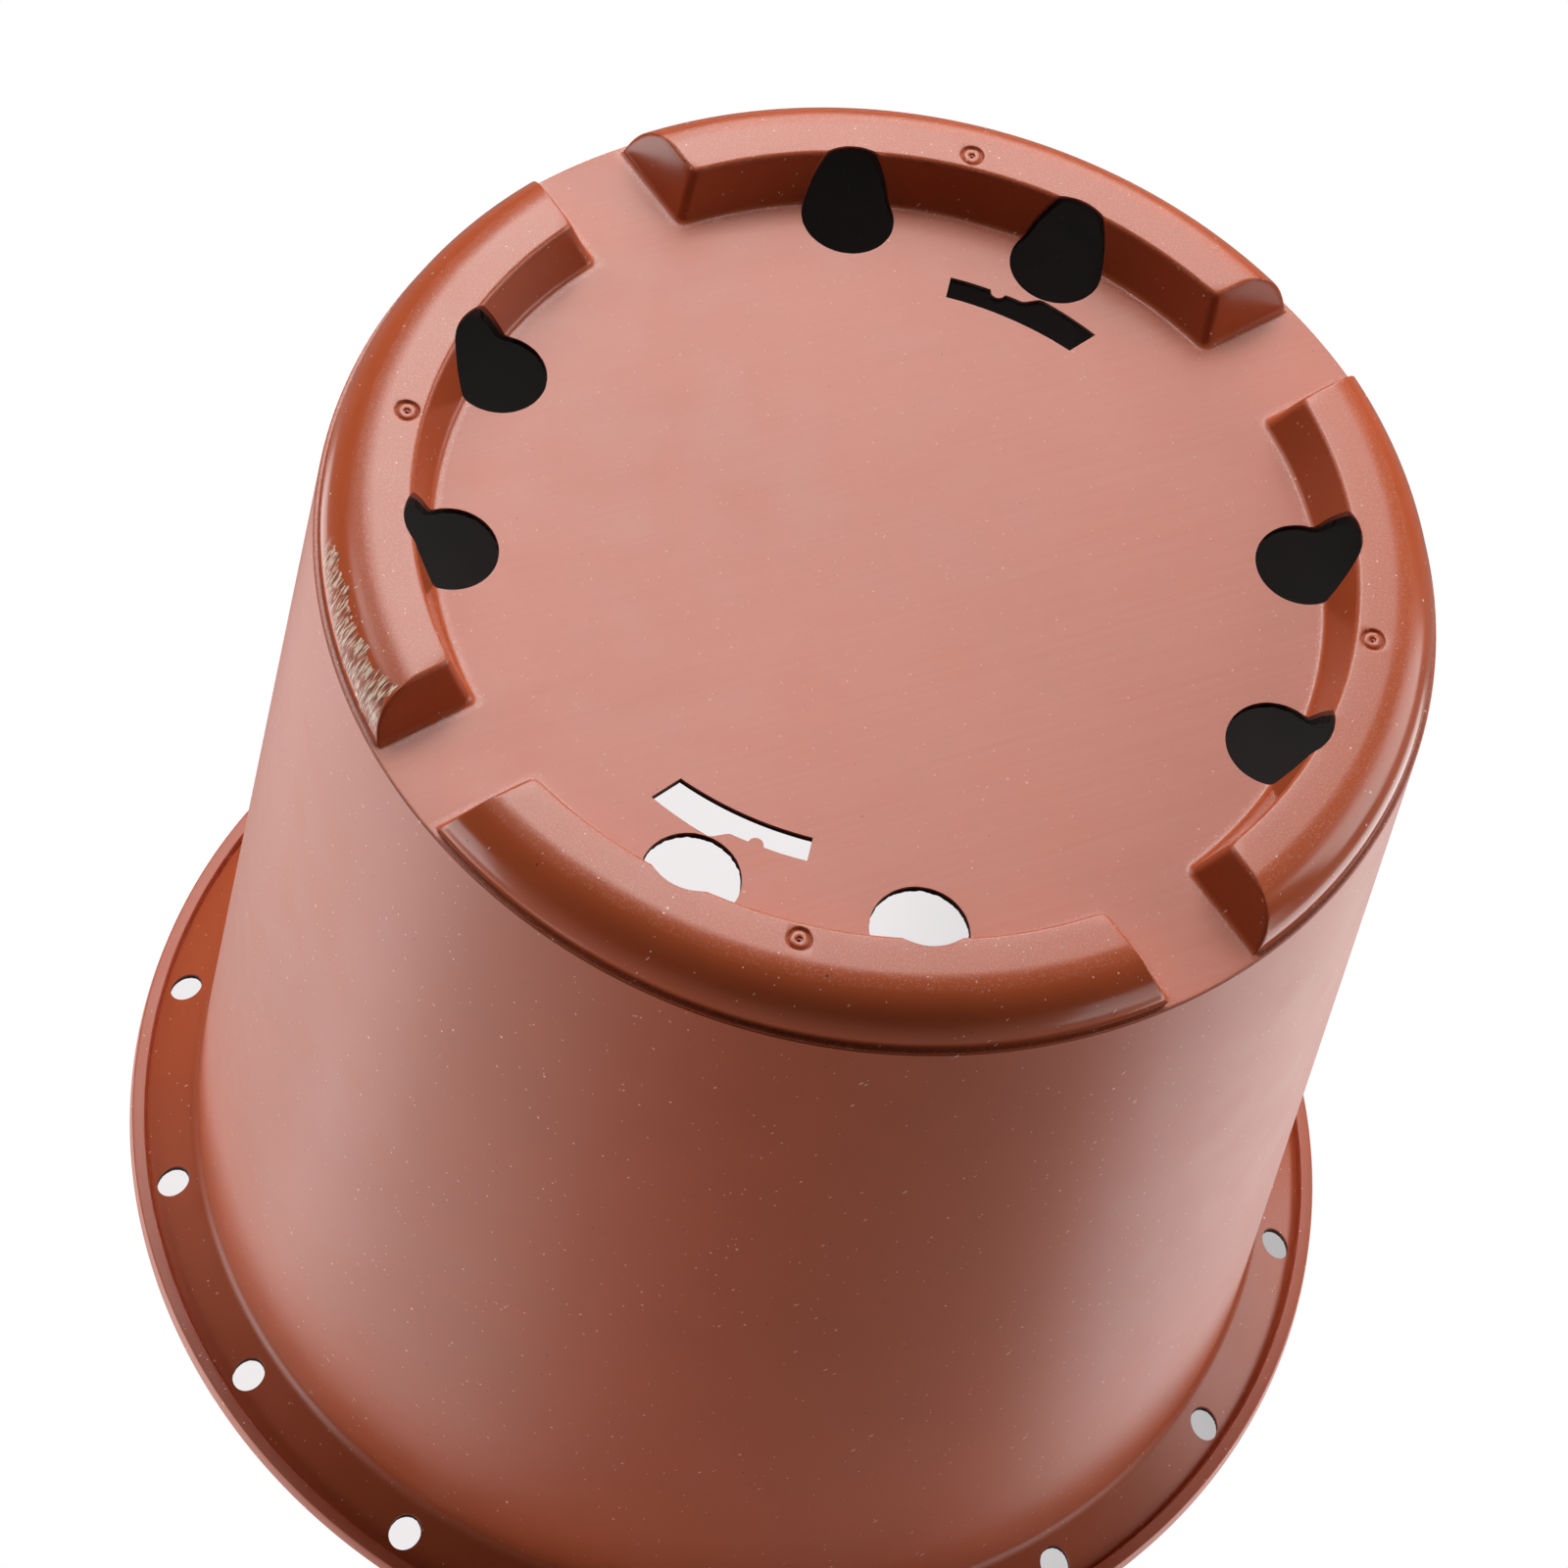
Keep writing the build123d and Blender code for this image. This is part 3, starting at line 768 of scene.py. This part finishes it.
class Graph:
    """A node tree of a material or the world, with one call for each kind of step."""

    def __init__(self, tree):
        self.tree = tree
        tree.nodes.clear()

    def add(self, kind, feeds=(), **settings):
        """A node with its settings, and with values or other nodes' outputs fed to its sockets."""
        node = self.tree.nodes.new(kind)
        for name, value in settings.items():
            setattr(node, name, value)
        for socket, value in dict(feeds).items():
            self.feed(node.inputs[socket], value)
        return node

    def feed(self, socket, value):
        """Links an output to a socket, or sets the socket's own value."""
        if isinstance(value, bpy.types.NodeSocket):
            self.tree.links.new(value, socket)
        else:
            socket.default_value = value

    def math(self, operation, a, b=0.0):
        """The result of a sum on one or two values."""
        return self.add("ShaderNodeMath", {0: a, 1: b}, operation=operation).outputs[0]

    def plus(self, a, b):
        """The sum of two values."""
        return self.math("ADD", a, b)

    def times(self, a, b):
        """The product of two values."""
        return self.math("MULTIPLY", a, b)

    def greater(self, a, b):
        """The greater of two values."""
        return self.math("MAXIMUM", a, b)

    def vector(self, operation, a, b=(0.0, 0.0, 0.0), output="Value"):
        """The result of a sum on one or two vectors."""
        return self.add("ShaderNodeVectorMath", {0: a, 1: b}, operation=operation).outputs[output]

    def spread(self, value, low, high, to_low=0.0, to_high=1.0, smooth=False):
        """A value between low and high, spread over another range."""
        feeds = {"From Min": low, "From Max": high, "To Min": to_low, "To Max": to_high, "Value": value}
        kind = "SMOOTHSTEP" if smooth else "LINEAR"
        return self.add("ShaderNodeMapRange", feeds, interpolation_type=kind).outputs["Result"]

    def swing(self, value, part, middle, reach):
        """A part of a noise's range, spread to reach on both sides of a middle."""
        return self.spread(value, *part, middle - reach, middle + reach)

    def blend(self, factor, a, b):
        """Two colours mixed by a factor."""
        return self.add("ShaderNodeMix", {0: factor, 6: a, 7: b}, data_type="RGBA").outputs[2]

    def here(self):
        """Object coordinates, in metres."""
        return self.add("ShaderNodeTexCoord").outputs["Object"]

    def along(self, place, axis):
        """One of a place's three coordinates."""
        return self.add("ShaderNodeSeparateXYZ", {0: place}).outputs[axis]

    def turned(self, place, turns, scale):
        """Coordinates turned about the three axes, in degrees, and then stretched."""
        feeds = {"Vector": place, "Rotation": tuple(radians(turn) for turn in turns)}
        spun = self.add("ShaderNodeMapping", feeds).outputs[0]
        return self.add("ShaderNodeMapping", {"Vector": spun, "Scale": scale}).outputs[0]

    def noise(self, place, scale, detail, roughness):
        """Soft noise from 0 to 1. A scale of 100 has features of about a centimetre."""
        feeds = {"Vector": place, "Scale": scale, "Detail": detail, "Roughness": roughness}
        return self.add("ShaderNodeTexNoise", feeds).outputs["Fac"]

    def streaks(self, place, turns, scale, detail, roughness):
        """Noise drawn out into lines."""
        return self.noise(self.turned(place, turns, scale), 1, detail, roughness)

    def specks(self, place, scale, size, share):
        """Small crisp specks. A cell of the pattern has one where its own random value is under share,
        and its radius is between half of size and size, in cells."""
        cells = self.add("ShaderNodeTexVoronoi", {"Vector": place, "Scale": scale})
        chance = self.add("ShaderNodeSeparateColor", {0: cells.outputs["Color"]})
        radius = self.spread(chance.outputs[1], 0.0, 1.0, 0.5 * size, size)
        inside = self.math("LESS_THAN", cells.outputs["Distance"], radius)
        return self.times(inside, self.math("LESS_THAN", chance.outputs[0], share))

    def strokes(self, place, turns, scale, size, share):
        """Specks drawn out into short strokes."""
        return self.specks(self.turned(place, turns, scale), 1, size, share)

    def output(self, kind, shader):
        """Ends the tree with a shader."""
        self.feed(self.add(kind).inputs["Surface"], shader)


def white(level):
    """A grey of an even level, with full alpha."""
    return (level, level, level, 1.0)


def new_graph(name):
    """An empty material and its graph."""
    material = bpy.data.materials.new(name)
    material.use_nodes = True
    return Graph(material.node_tree), material


class Surface:
    """A plastic's colour, roughness and bump, to which its patterns are added one by one."""

    def __init__(self, name):
        self.graph, self.material = new_graph(name)
        self.here = self.graph.here()

    def colour(self, factor, colour):
        """Mixes a colour into the surface."""
        self.skin = self.graph.blend(factor, self.skin, (*colour, 1.0))

    def roughen(self, amount):
        """Adds to the roughness."""
        self.gloss = self.graph.plus(self.gloss, amount)

    def lift(self, pattern, amount):
        """Adds a pattern to the bump."""
        self.bump = self.graph.plus(self.bump, self.graph.times(pattern, amount))

    def finished(self, depth, specular, tint=white(1.0)):
        """The material: a principled plastic, with the bump of a depth in metres."""
        graph = self.graph
        normal = graph.add("ShaderNodeBump", {"Height": self.bump, "Distance": depth}).outputs[0]
        feeds = {"Base Color": self.skin, "Roughness": self.gloss, "Normal": normal,
                 "IOR": PLASTIC_IOR, "Specular IOR Level": specular, "Specular Tint": tint}
        graph.output("ShaderNodeOutputMaterial", graph.add("ShaderNodeBsdfPrincipled", feeds).outputs[0])
        return self.material


def terracotta(region, roughness, dusty=0.7, specular=0.5, extras=()):
    """Moulded terracotta plastic: cloudy colour, fine grain, and dust in specks and short strokes. Extras
    are the patterns that only some regions have."""
    values = bpy.context.scene.finish_values
    surface = Surface(f"{region}_terracotta")
    graph, here = surface.graph, surface.here
    fine_clouds = graph.noise(here, *FINE_CLOUDS)
    grain = graph.noise(here, *GRAIN)
    tone = graph.times(graph.swing(graph.noise(here, *CLOUDS), MIDDLE, 1, CLOUD_TONE),
                       graph.swing(fine_clouds, WIDE, 1, FINE_CLOUD_TONE))
    tone = graph.times(tone, graph.swing(grain, WIDER, 1, GRAIN_TONE))
    feeds = {0: values.terracotta, "Scale": tone}
    surface.skin = graph.add("ShaderNodeVectorMath", feeds, operation="SCALE").outputs[0]
    patches = graph.spread(graph.noise(here, *DUST_PATCHES), *PATCHY)
    dust = graph.greater(graph.specks(here, *FINE_DUST, graph.times(patches, FINE_DUST_SHARE)),
                         graph.specks(here, *COARSE_DUST))
    strokes = graph.greater(graph.strokes(here, *DUST_STROKES), graph.strokes(here, *CROSS_STROKES))
    marks = graph.greater(dust, strokes)
    surface.colour(graph.times(marks, dusty), values.dust)
    surface.colour(graph.specks(here, *DARK_SPECKS), values.black)
    surface.gloss = graph.swing(fine_clouds, WIDER, roughness, CLOUD_GLOSS)
    surface.roughen(graph.times(marks, MARK_GLOSS))
    surface.bump = graph.times(grain, GRAIN_BUMP)
    surface.lift(graph.noise(here, *PEEL), PEEL_BUMP)
    surface.lift(marks, MARK_BUMP)
    for extra in extras:
        extra(surface, values)
    return surface.finished(SKIN_BUMP_DEPTH, specular)


def frost_and_glints(surface, values):
    """The sparkling grain of the feet's flats, which is fainter on their smoother sides. The grain is a real
    bump, and its pale specks of the dust colour are painted glints.
    """
    graph = surface.graph
    level = graph.along(surface.here, 2)
    flat = graph.greater(graph.spread(level, SIDE_BOTTOM, FLAT_TOP),
                         graph.spread(level, SIDE_TOP, FLOOR_BOTTOM))
    sparkle = graph.times(graph.noise(surface.here, *SPARKLE), graph.spread(flat, 0, 1, SPARKLE_SHARE, 1))
    # Painted glints: pale specks of the dust colour where the sparkle noise is high, fuller on the flats
    # than on the sides.
    surface.colour(graph.spread(sparkle, *SPARKLING, 0, PAINTED_GLINT_TONE), values.dust)
    surface.lift(sparkle, SPARKLE_BUMP)
    surface.roughen(graph.spread(flat, 0, 1, SIDE_GLOSS, 0))


def polish(surface, values):
    """The fine slanting lines of the floor."""
    graph = surface.graph
    both = graph.plus(graph.times(graph.streaks(surface.here, *POLISH_LINES), LINE_SHARE),
                      graph.times(graph.streaks(surface.here, *POLISH_BANDS), BAND_SHARE))
    surface.colour(graph.spread(both, *MIDDLE, 0, POLISH_TONE), values.dust)
    surface.roughen(graph.swing(both, MIDDLE, 0, POLISH_GLOSS))
    surface.lift(both, POLISH_BUMP)


def chafe(surface, values):
    """The rubbed patch on the right foot's shoulder, a ragged strip that widens towards the foot's end,
    with pale torn and dark gouged strokes."""
    graph, here = surface.graph, surface.here
    turn = graph.math("ARCTAN2", graph.along(here, 1), graph.along(here, 0))
    first, full_from, full_to, last = CHAFE_TURNS
    along = graph.times(graph.spread(turn, first, full_from), graph.spread(turn, last, full_to))
    ragged = graph.swing(graph.noise(here, *RAGGED_EDGE), MIDDLE, 0, CHAFE_RAGGED)
    off = graph.math("SUBTRACT", graph.plus(graph.along(here, 2), ragged), CHAFE_LEVEL)
    half = graph.spread(turn, CHAFE_WIDE_TURN, CHAFE_NARROW_TURN, CHAFE_HALF_WIDE, CHAFE_HALF_NARROW)
    patch = graph.times(graph.math("LESS_THAN", graph.math("ABSOLUTE", off), half), along)
    outside = graph.math("GREATER_THAN", graph.vector("LENGTH", here), CHAFE_LEAST_OUT)
    beside = graph.math("GREATER_THAN", graph.vector("DOT_PRODUCT", here, END_WAY), CHAFE_LEAST_END)
    patch = graph.times(graph.times(patch, outside), beside)
    strokes = graph.streaks(here, *TORN_STROKES)
    torn = graph.times(patch, graph.spread(strokes, *TORN))
    gouged = graph.times(patch, graph.spread(strokes, *GOUGED))
    surface.colour(graph.times(torn, CHALK_TONE), values.chalk)
    surface.colour(graph.times(gouged, GOUGE_TONE), values.black)
    surface.roughen(graph.times(patch, CHAFE_GLOSS))
    surface.lift(torn, CHAFE_BUMP)


def black_plastic(region):
    """The black liner: satin, with faint dust and haze."""
    values = bpy.context.scene.finish_values
    surface = Surface(f"{region}_black")
    graph, here = surface.graph, surface.here
    clouds = graph.noise(here, *LINER_CLOUDS)
    dust = graph.greater(graph.specks(here, *LINER_FINE_DUST), graph.specks(here, *LINER_COARSE_DUST))
    haze = graph.spread(clouds, *HAZY, 0, HAZE_TONE)
    surface.skin = (*values.black, 1.0)
    surface.colour(graph.greater(haze, graph.times(dust, LINER_DUST_TONE)), values.grime)
    surface.gloss = graph.swing(clouds, MIDDLE, values.liner_roughness, LINER_CLOUD_GLOSS)
    surface.roughen(graph.times(dust, LINER_DUST_GLOSS))
    surface.bump = graph.plus(graph.noise(here, *LINER_GRAIN), dust)
    return surface.finished(LINER_BUMP_DEPTH, LINER_SPECULAR, LINER_TINT)


# Operators


def layers_of(form, region, skin_finish):
    """A region's skin and liner, each with its name, its two depths, its record slot and its finish."""
    skin = form.pot.skin
    return (
        ("skin", 0.0, skin, "terracotta", skin_finish),
        ("liner", skin, form.depth, "black", black_plastic(region)),
    )


def burr_of(form, layer):
    """How far a layer's cut edges wander. The skin's are clean."""
    return form.opening.burr if layer == "liner" else 0


class ORCHID_OT_feet(bpy.types.Operator):
    """Make the four feet, each with its drain holes and its gate mark"""
    bl_idname = "orchid_pot.feet"
    bl_label = "Feet"

    def execute(self, context):
        form = Form()
        skin_finish = terracotta("foot", context.scene.finish_values.foot_roughness,
                                 specular=FOOT_SPECULAR, extras=(frost_and_glints, chafe))
        for layer, top, bottom, slot, finish in layers_of(form, "foot", skin_finish):
            outer, _ = foot_points(BaseLayer(form, top))
            inner, _ = foot_points(BaseLayer(form, bottom))
            quads = grid_faces(*outer.shape[:2])
            for n, foot_name in enumerate(FOOT_NAMES):
                name = f"foot_{foot_name}_{layer}"
                sides = [turned_by(side.reshape(-1, 3), FOOT_STEP * n) for side in (outer, inner)]
                piece = shell(f"{name}_surface", *sides, quads)
                cutters = drain_cutters(form, burr_of(form, layer), [n])
                if layer == "skin":
                    cutters.append(gate_cutter(form, n))
                finish_piece(cut(piece, cutters), name, finish)
        return {"FINISHED"}


class ORCHID_OT_floor(bpy.types.Operator):
    """Make the floor with its channels, drain holes and slots"""
    bl_idname = "orchid_pot.floor"
    bl_label = "Floor"

    def execute(self, context):
        form = Form()
        skin_finish = terracotta("floor", context.scene.finish_values.floor_roughness,
                                 dusty=FLOOR_DUSTY, extras=(polish,))
        for layer, top, bottom, slot, finish in layers_of(form, "floor", skin_finish):
            sides = []
            for depth in (top, bottom):
                disc, tongues, foot_columns = floor_points(BaseLayer(form, depth))
                sides.append(np.concatenate([disc.reshape(-1, 3), tongues.reshape(-1, 3)]))
            quads, middle = floor_faces(disc, tongues, foot_columns)
            piece = shell(f"floor_{layer}_surface", *sides, quads, middle)
            burr = burr_of(form, layer)
            cutters = drain_cutters(form, burr, range(FOOT_COUNT)) + slot_cutters(form, burr)
            finish_piece(cut(piece, cutters), f"floor_{layer}", finish)
        return {"FINISHED"}


class ORCHID_OT_wall(bpy.types.Operator):
    """Make the side wall"""
    bl_idname = "orchid_pot.wall"
    bl_label = "Wall"

    def execute(self, context):
        form = Form()
        foot, pot = form.foot, form.pot
        starts = {"skin": foot.height + pot.ledge_edge + pot.groove, "liner": form.floor_top_z}
        edges = {"skin": pot.ledge_edge, "liner": 0}
        skin_finish = terracotta("wall", context.scene.finish_values.wall_roughness)
        for layer, top, bottom, slot, finish in layers_of(form, "wall", skin_finish):
            rows = []
            for depth in (top, bottom):
                corners = moved(wall_corners(form), depth)
                rows.append([at_level(corners, starts[layer]), at_level(corners, form.wall_top_z)])
            (a, b), (d, c) = rows
            corners = [(*b, 0, 0), (*c, 0, 0), (*d, 0, 0), (*a, edges[layer], CORNER_STEPS)]
            piece = ring(f"wall_{layer}_surface", closed_loop(corners))
            finish_piece(piece, f"wall_{layer}", finish)
        return {"FINISHED"}


class ORCHID_OT_flange(bpy.types.Operator):
    """Make the sloping flange with its ring of holes"""
    bl_idname = "orchid_pot.flange"
    bl_label = "Flange"

    def execute(self, context):
        form = Form()
        skin_finish = terracotta("flange", context.scene.finish_values.rim_roughness)
        for layer, top, bottom, slot, finish in layers_of(form, "flange", skin_finish):
            outer = moved(wall_corners(form), top)
            inner = moved(wall_corners(form), bottom)
            crease = inner[2, :2] if layer == "skin" else crease_foot(form, outer)
            low, high = at_level(outer, form.wall_top_z), at_level(inner, form.wall_top_z)
            corners = [(*high, 0, 0), (*low, 0, 0), outer[1], (*outer[2, :2], 0, 0),
                       (*crease, 0, 0), inner[1]]
            piece = ring(f"flange_{layer}_surface", closed_loop(corners))
            cutters = rim_hole_cutters(form, RIM_BURR_SHARE * burr_of(form, layer))
            finish_piece(cut(piece, cutters), f"flange_{layer}", finish)
        return {"FINISHED"}


class ORCHID_OT_lip(bpy.types.Operator):
    """Make the thick lip at the mouth"""
    bl_idname = "orchid_pot.lip"
    bl_label = "Lip"

    def execute(self, context):
        form = Form()
        outer = moved(wall_corners(form), 0)
        middle = moved(wall_corners(form), form.pot.skin)
        inside = moved(inside_wall_corners(form), form.depth)
        edge = form.rim.mouth_edge
        loops = {
            "skin": [(*middle[2, :2], 0, 0), (*outer[2, :2], 0, 0), outer[3], outer[4],
                     (*outer[5, :2], edge, CORNER_STEPS), (*middle[5, :2], 0, 0), middle[4], middle[3]],
            "liner": [(*crease_foot(form, middle), 0, 0), (*middle[2, :2], 0, 0), middle[3], middle[4],
                      (*middle[5, :2], 0, 0),
                      (*at_level(inside, form.pot.height, 1), edge, CORNER_STEPS)],
        }
        # The lip's fuller dust colour is partly painted sheen.
        skin_finish = terracotta("lip", context.scene.finish_values.rim_roughness + LIP_ROUGHER,
                                 dusty=LIP_DUST_AND_SHEEN)
        for layer, _, _, slot, finish in layers_of(form, "lip", skin_finish):
            piece = ring(f"lip_{layer}_surface", closed_loop(loops[layer]))
            finish_piece(piece, f"lip_{layer}", finish)
        return {"FINISHED"}


# The studio

LAMP_DISTANCE = 0.95
LAMP_AIM = Vector((0, 0, 60 * MM))     # on the axis, below the pot's middle

# Each lamp's azimuth and elevation in degrees, width and height in metres, and glow
LAMPS = {
    "lamp_over_base": (180, -57, 0.42, 0.42, 4.9),
    "lamp_over_base_right": (155, -57, 0.42, 0.42, 5.6),
    "lamp_behind_base": (180, -32, 0.58, 0.58, 4.5),
    "lamp_low_right": (120, -50, 0.58, 0.58, 1.2),
    "lamp_in_the_flange": (100, -38, 0.25, 0.25, 4.0),
    "lamp_left_side": (-110, -18, 0.58, 0.58, 4.2),
    "lamp_left_front": (-65, 10, 0.58, 0.58, 1.9),
    "lamp_right_front": (68, 12, 0.58, 0.58, 4.0),
    "lamp_right_above": (97, 38, 0.9, 0.58, 2.0),
    "lamp_left_above": (-102, 40, 0.8, 0.58, 2.3),
    "lamp_high": (60, 62, 0.58, 0.58, 1.4),
}
# Lamps that light the wall but don't show in its gloss
WASHES = {
    "wash_right": (45, 35, 0.58, 0.58, 1.8),
    "wash_left": (-45, 35, 0.58, 0.58, 1.1),
}

TABLE_RADIUS = 4.0
TABLE_GAP = 0.1 * MM
TABLE_TONE = (0.80, 0.83)
TABLE_MOTTLE = (30, 3, 0.5)
TABLE_FADE = (0.16, 0.62)            # from the pot's foot out to plain white
CARD_INSET = 1.5 * MM
CARD_GAP = 0.3 * MM
CARD_COLOUR = (0.862, 0.832, 0.838, 1.0)
# Painted shadow on the card: from its bright side to its dim side its glow fades down to the dim level.
CARD_DIM_SIDE, CARD_BRIGHT_SIDE, CARD_DIM = -80 * MM, -10 * MM, 0.56
# Painted shade in reflections: the pot's gloss sees the card's front as a flat dim grey, which darkens the
# inside of the pot.
CARD_REFLECTED_SHADE = 0.12                # what the pot's gloss sees of the card
DISC_STEPS = 96
HORIZON = (-0.2, 0.3)                # rises over which the surroundings turn from dark to bright
SENSOR_WIDTH = 36


def line_of_sight(azimuth, elevation):
    """Unit vector from the pot towards a camera or lamp at an azimuth and elevation."""
    return Vector((sin(azimuth) * cos(elevation), -cos(azimuth) * cos(elevation), sin(elevation)))


def softbox(name, azimuth, elevation, width, height, glow):
    """An area lamp that faces the pot's middle. Glow is its brightness, where 1 is white, so its power
    is glow times pi times its area."""
    lamp = bpy.data.lights.new(name, "AREA")
    lamp.shape, lamp.size, lamp.size_y = "RECTANGLE", width, height
    lamp.energy = glow * pi * width * height
    back = line_of_sight(radians(azimuth), radians(elevation))
    thing = bpy.data.objects.new(name, lamp)
    thing.rotation_mode = "QUATERNION"
    thing.location = LAMP_AIM + back * LAMP_DISTANCE
    thing.rotation_quaternion = back.to_track_quat("Z", "Y")
    thing.visible_camera = False
    bpy.context.scene.collection.objects.link(thing)
    return thing


def place_camera(values):
    """The camera of the photograph. Its up is the world's up, turned about the line of sight by roll."""
    back = line_of_sight(values.azimuth, values.elevation)
    upright_way = (Vector((0, 0, 1)) - back * back.z).normalized()
    across = (-back).cross(upright_way)
    up = upright_way * cos(values.roll) + across * sin(values.roll)
    right = (-back).cross(up)
    camera = bpy.data.cameras.new("camera")
    camera.lens = values.lens
    camera.sensor_width = SENSOR_WIDTH
    thing = bpy.data.objects.new("camera", camera)
    turn = Matrix((right, up, back)).transposed().to_4x4()
    thing.matrix_world = Matrix.Translation(Vector(values.aim) + back * values.distance) @ turn
    bpy.context.scene.collection.objects.link(thing)
    bpy.context.scene.camera = thing


def light_surroundings(values):
    """A world that the camera sees white. The pot and its gloss see it bright above and dark below, as
    over a white table in a darker room."""
    world = bpy.data.worlds.new("surroundings")
    bpy.context.scene.world = world
    world.use_nodes = True
    graph = Graph(world.node_tree)
    rays = graph.add("ShaderNodeLightPath").outputs
    rise = graph.along(graph.add("ShaderNodeTexCoord").outputs["Generated"], 2)
    around_pot = graph.spread(rise, *HORIZON, values.below, values.above, smooth=True)
    seen = graph.greater(rays["Is Camera Ray"], rays["Is Transmission Ray"])
    level = graph.greater(seen, around_pot)
    background = graph.add("ShaderNodeBackground", {"Color": white(1.0), "Strength": level})
    graph.output("ShaderNodeOutputWorld", background.outputs[0])


def one_sided(name, shader_of, reflected=None):
    """A material that only camera rays on its front see. All else passes through it, but where there is a
    reflected level, reflections of its front see that level as a flat emission, a painted shade."""
    graph, material = new_graph(name)
    rays = graph.add("ShaderNodeLightPath").outputs
    front = graph.math("SUBTRACT", 1.0, graph.add("ShaderNodeNewGeometry").outputs["Backfacing"])
    seen = graph.times(rays["Is Camera Ray"], front)
    clear = graph.add("ShaderNodeBsdfTransparent").outputs[0]
    if reflected is not None:
        dim = graph.add("ShaderNodeEmission", {"Color": white(reflected)}).outputs[0]
        mirrored = graph.times(rays["Is Glossy Ray"], front)
        clear = graph.add("ShaderNodeMixShader", {0: mirrored, 1: clear, 2: dim}).outputs[0]
    mixed = graph.add("ShaderNodeMixShader", {0: seen, 1: clear, 2: shader_of(graph)})
    graph.output("ShaderNodeOutputMaterial", mixed.outputs[0])
    return material


def table_finish(graph):
    """A pale matt table that fades to white away from the pot."""
    here = graph.here()
    fade = graph.spread(graph.vector("LENGTH", here), *TABLE_FADE, smooth=True)
    mottle = graph.spread(graph.noise(here, *TABLE_MOTTLE), *MIDDLE, *TABLE_TONE)
    tone = graph.add("ShaderNodeCombineColor", {0: mottle, 1: mottle, 2: mottle}).outputs[0]
    near = graph.add("ShaderNodeBsdfDiffuse", {"Color": tone}).outputs[0]
    bright = graph.add("ShaderNodeEmission", {"Color": white(1.0)}).outputs[0]
    return graph.add("ShaderNodeMixShader", {0: fade, 1: near, 2: bright}).outputs[0]


def card_glow_and_shadow(graph):
    """The pale card at the mouth: a glowing stand-in for the table that shows through the holes, with a
    painted shadow that dims it at one side.
    """
    level = graph.spread(graph.along(graph.here(), 0), CARD_DIM_SIDE, CARD_BRIGHT_SIDE, CARD_DIM, 1.0)
    return graph.add("ShaderNodeEmission", {"Color": CARD_COLOUR, "Strength": level}).outputs[0]


def disc(name, radius, level, facing_up, material):
    """A flat round stage piece."""
    points = placed(radius, full_turn(DISC_STEPS), level)
    order = np.arange(DISC_STEPS)
    face = order if facing_up else order[::-1]
    thing = new_piece(name, points, np.zeros((0, 4), int), [face])
    thing.data.materials.append(material)


class ORCHID_OT_studio(bpy.types.Operator):
    """Make the table, the lamps, the surroundings and the camera"""
    bl_idname = "orchid_pot.studio"
    bl_label = "Studio"

    def execute(self, context):
        values, form = context.scene.studio_values, Form()
        place_camera(values)
        light_surroundings(values)
        for name, sizes in LAMPS.items():
            softbox(name, *sizes)
        for name, sizes in WASHES.items():
            softbox(name, *sizes).visible_glossy = False
        disc("table", TABLE_RADIUS, -TABLE_GAP, True, one_sided("table", table_finish))
        # The mouth card glows though it is no lamp, with a painted shadow at one side and a painted shade in
        # the pot's reflections.
        disc("mouth_card", form.lip_radius - CARD_INSET, form.pot.height + CARD_GAP, False,
             one_sided("mouth_card", card_glow_and_shadow, CARD_REFLECTED_SHADE))
        context.scene.view_settings.view_transform = "Standard"
        return {"FINISHED"}


class ORCHID_PT_panel(bpy.types.Panel):
    """Lists the pot's sizes and the steps that build it"""
    bl_label = "Orchid pot"
    bl_idname = "ORCHID_PT_panel"
    bl_space_type = "VIEW_3D"
    bl_region_type = "UI"
    bl_category = "Orchid pot"

    def draw(self, context):
        for operator in OPERATORS:
            self.layout.operator(operator.bl_idname)
        for name, group in GROUPS.items():
            box = self.layout.box()
            box.label(text=group.__doc__)
            for value in group.__annotations__:
                box.prop(getattr(context.scene, name), value)


GROUPS = {
    "pot_sizes": PotSizes,
    "foot_sizes": FootSizes,
    "opening_sizes": OpeningSizes,
    "rim_sizes": RimSizes,
    "finish_values": FinishValues,
    "studio_values": StudioValues,
}
OPERATORS = (
    ORCHID_OT_feet,
    ORCHID_OT_floor,
    ORCHID_OT_wall,
    ORCHID_OT_flange,
    ORCHID_OT_lip,
    ORCHID_OT_studio,
)
CLASSES = (*GROUPS.values(), *OPERATORS, ORCHID_PT_panel)


def register():
    """Registers the classes and ties the values to the scene."""
    for each in CLASSES:
        bpy.utils.register_class(each)
    for name, group in GROUPS.items():
        setattr(bpy.types.Scene, name, PointerProperty(type=group))


def unregister():
    """Takes the values and the classes away again."""
    for name in GROUPS:
        delattr(bpy.types.Scene, name)
    for each in reversed(CLASSES):
        bpy.utils.unregister_class(each)


def main():
    """Builds the pot and its studio."""
    register()
    bpy.ops.orchid_pot.feet()
    bpy.ops.orchid_pot.floor()
    bpy.ops.orchid_pot.wall()
    bpy.ops.orchid_pot.flange()
    bpy.ops.orchid_pot.lip()
    bpy.ops.orchid_pot.studio()


if __name__ == "__main__":
    main()
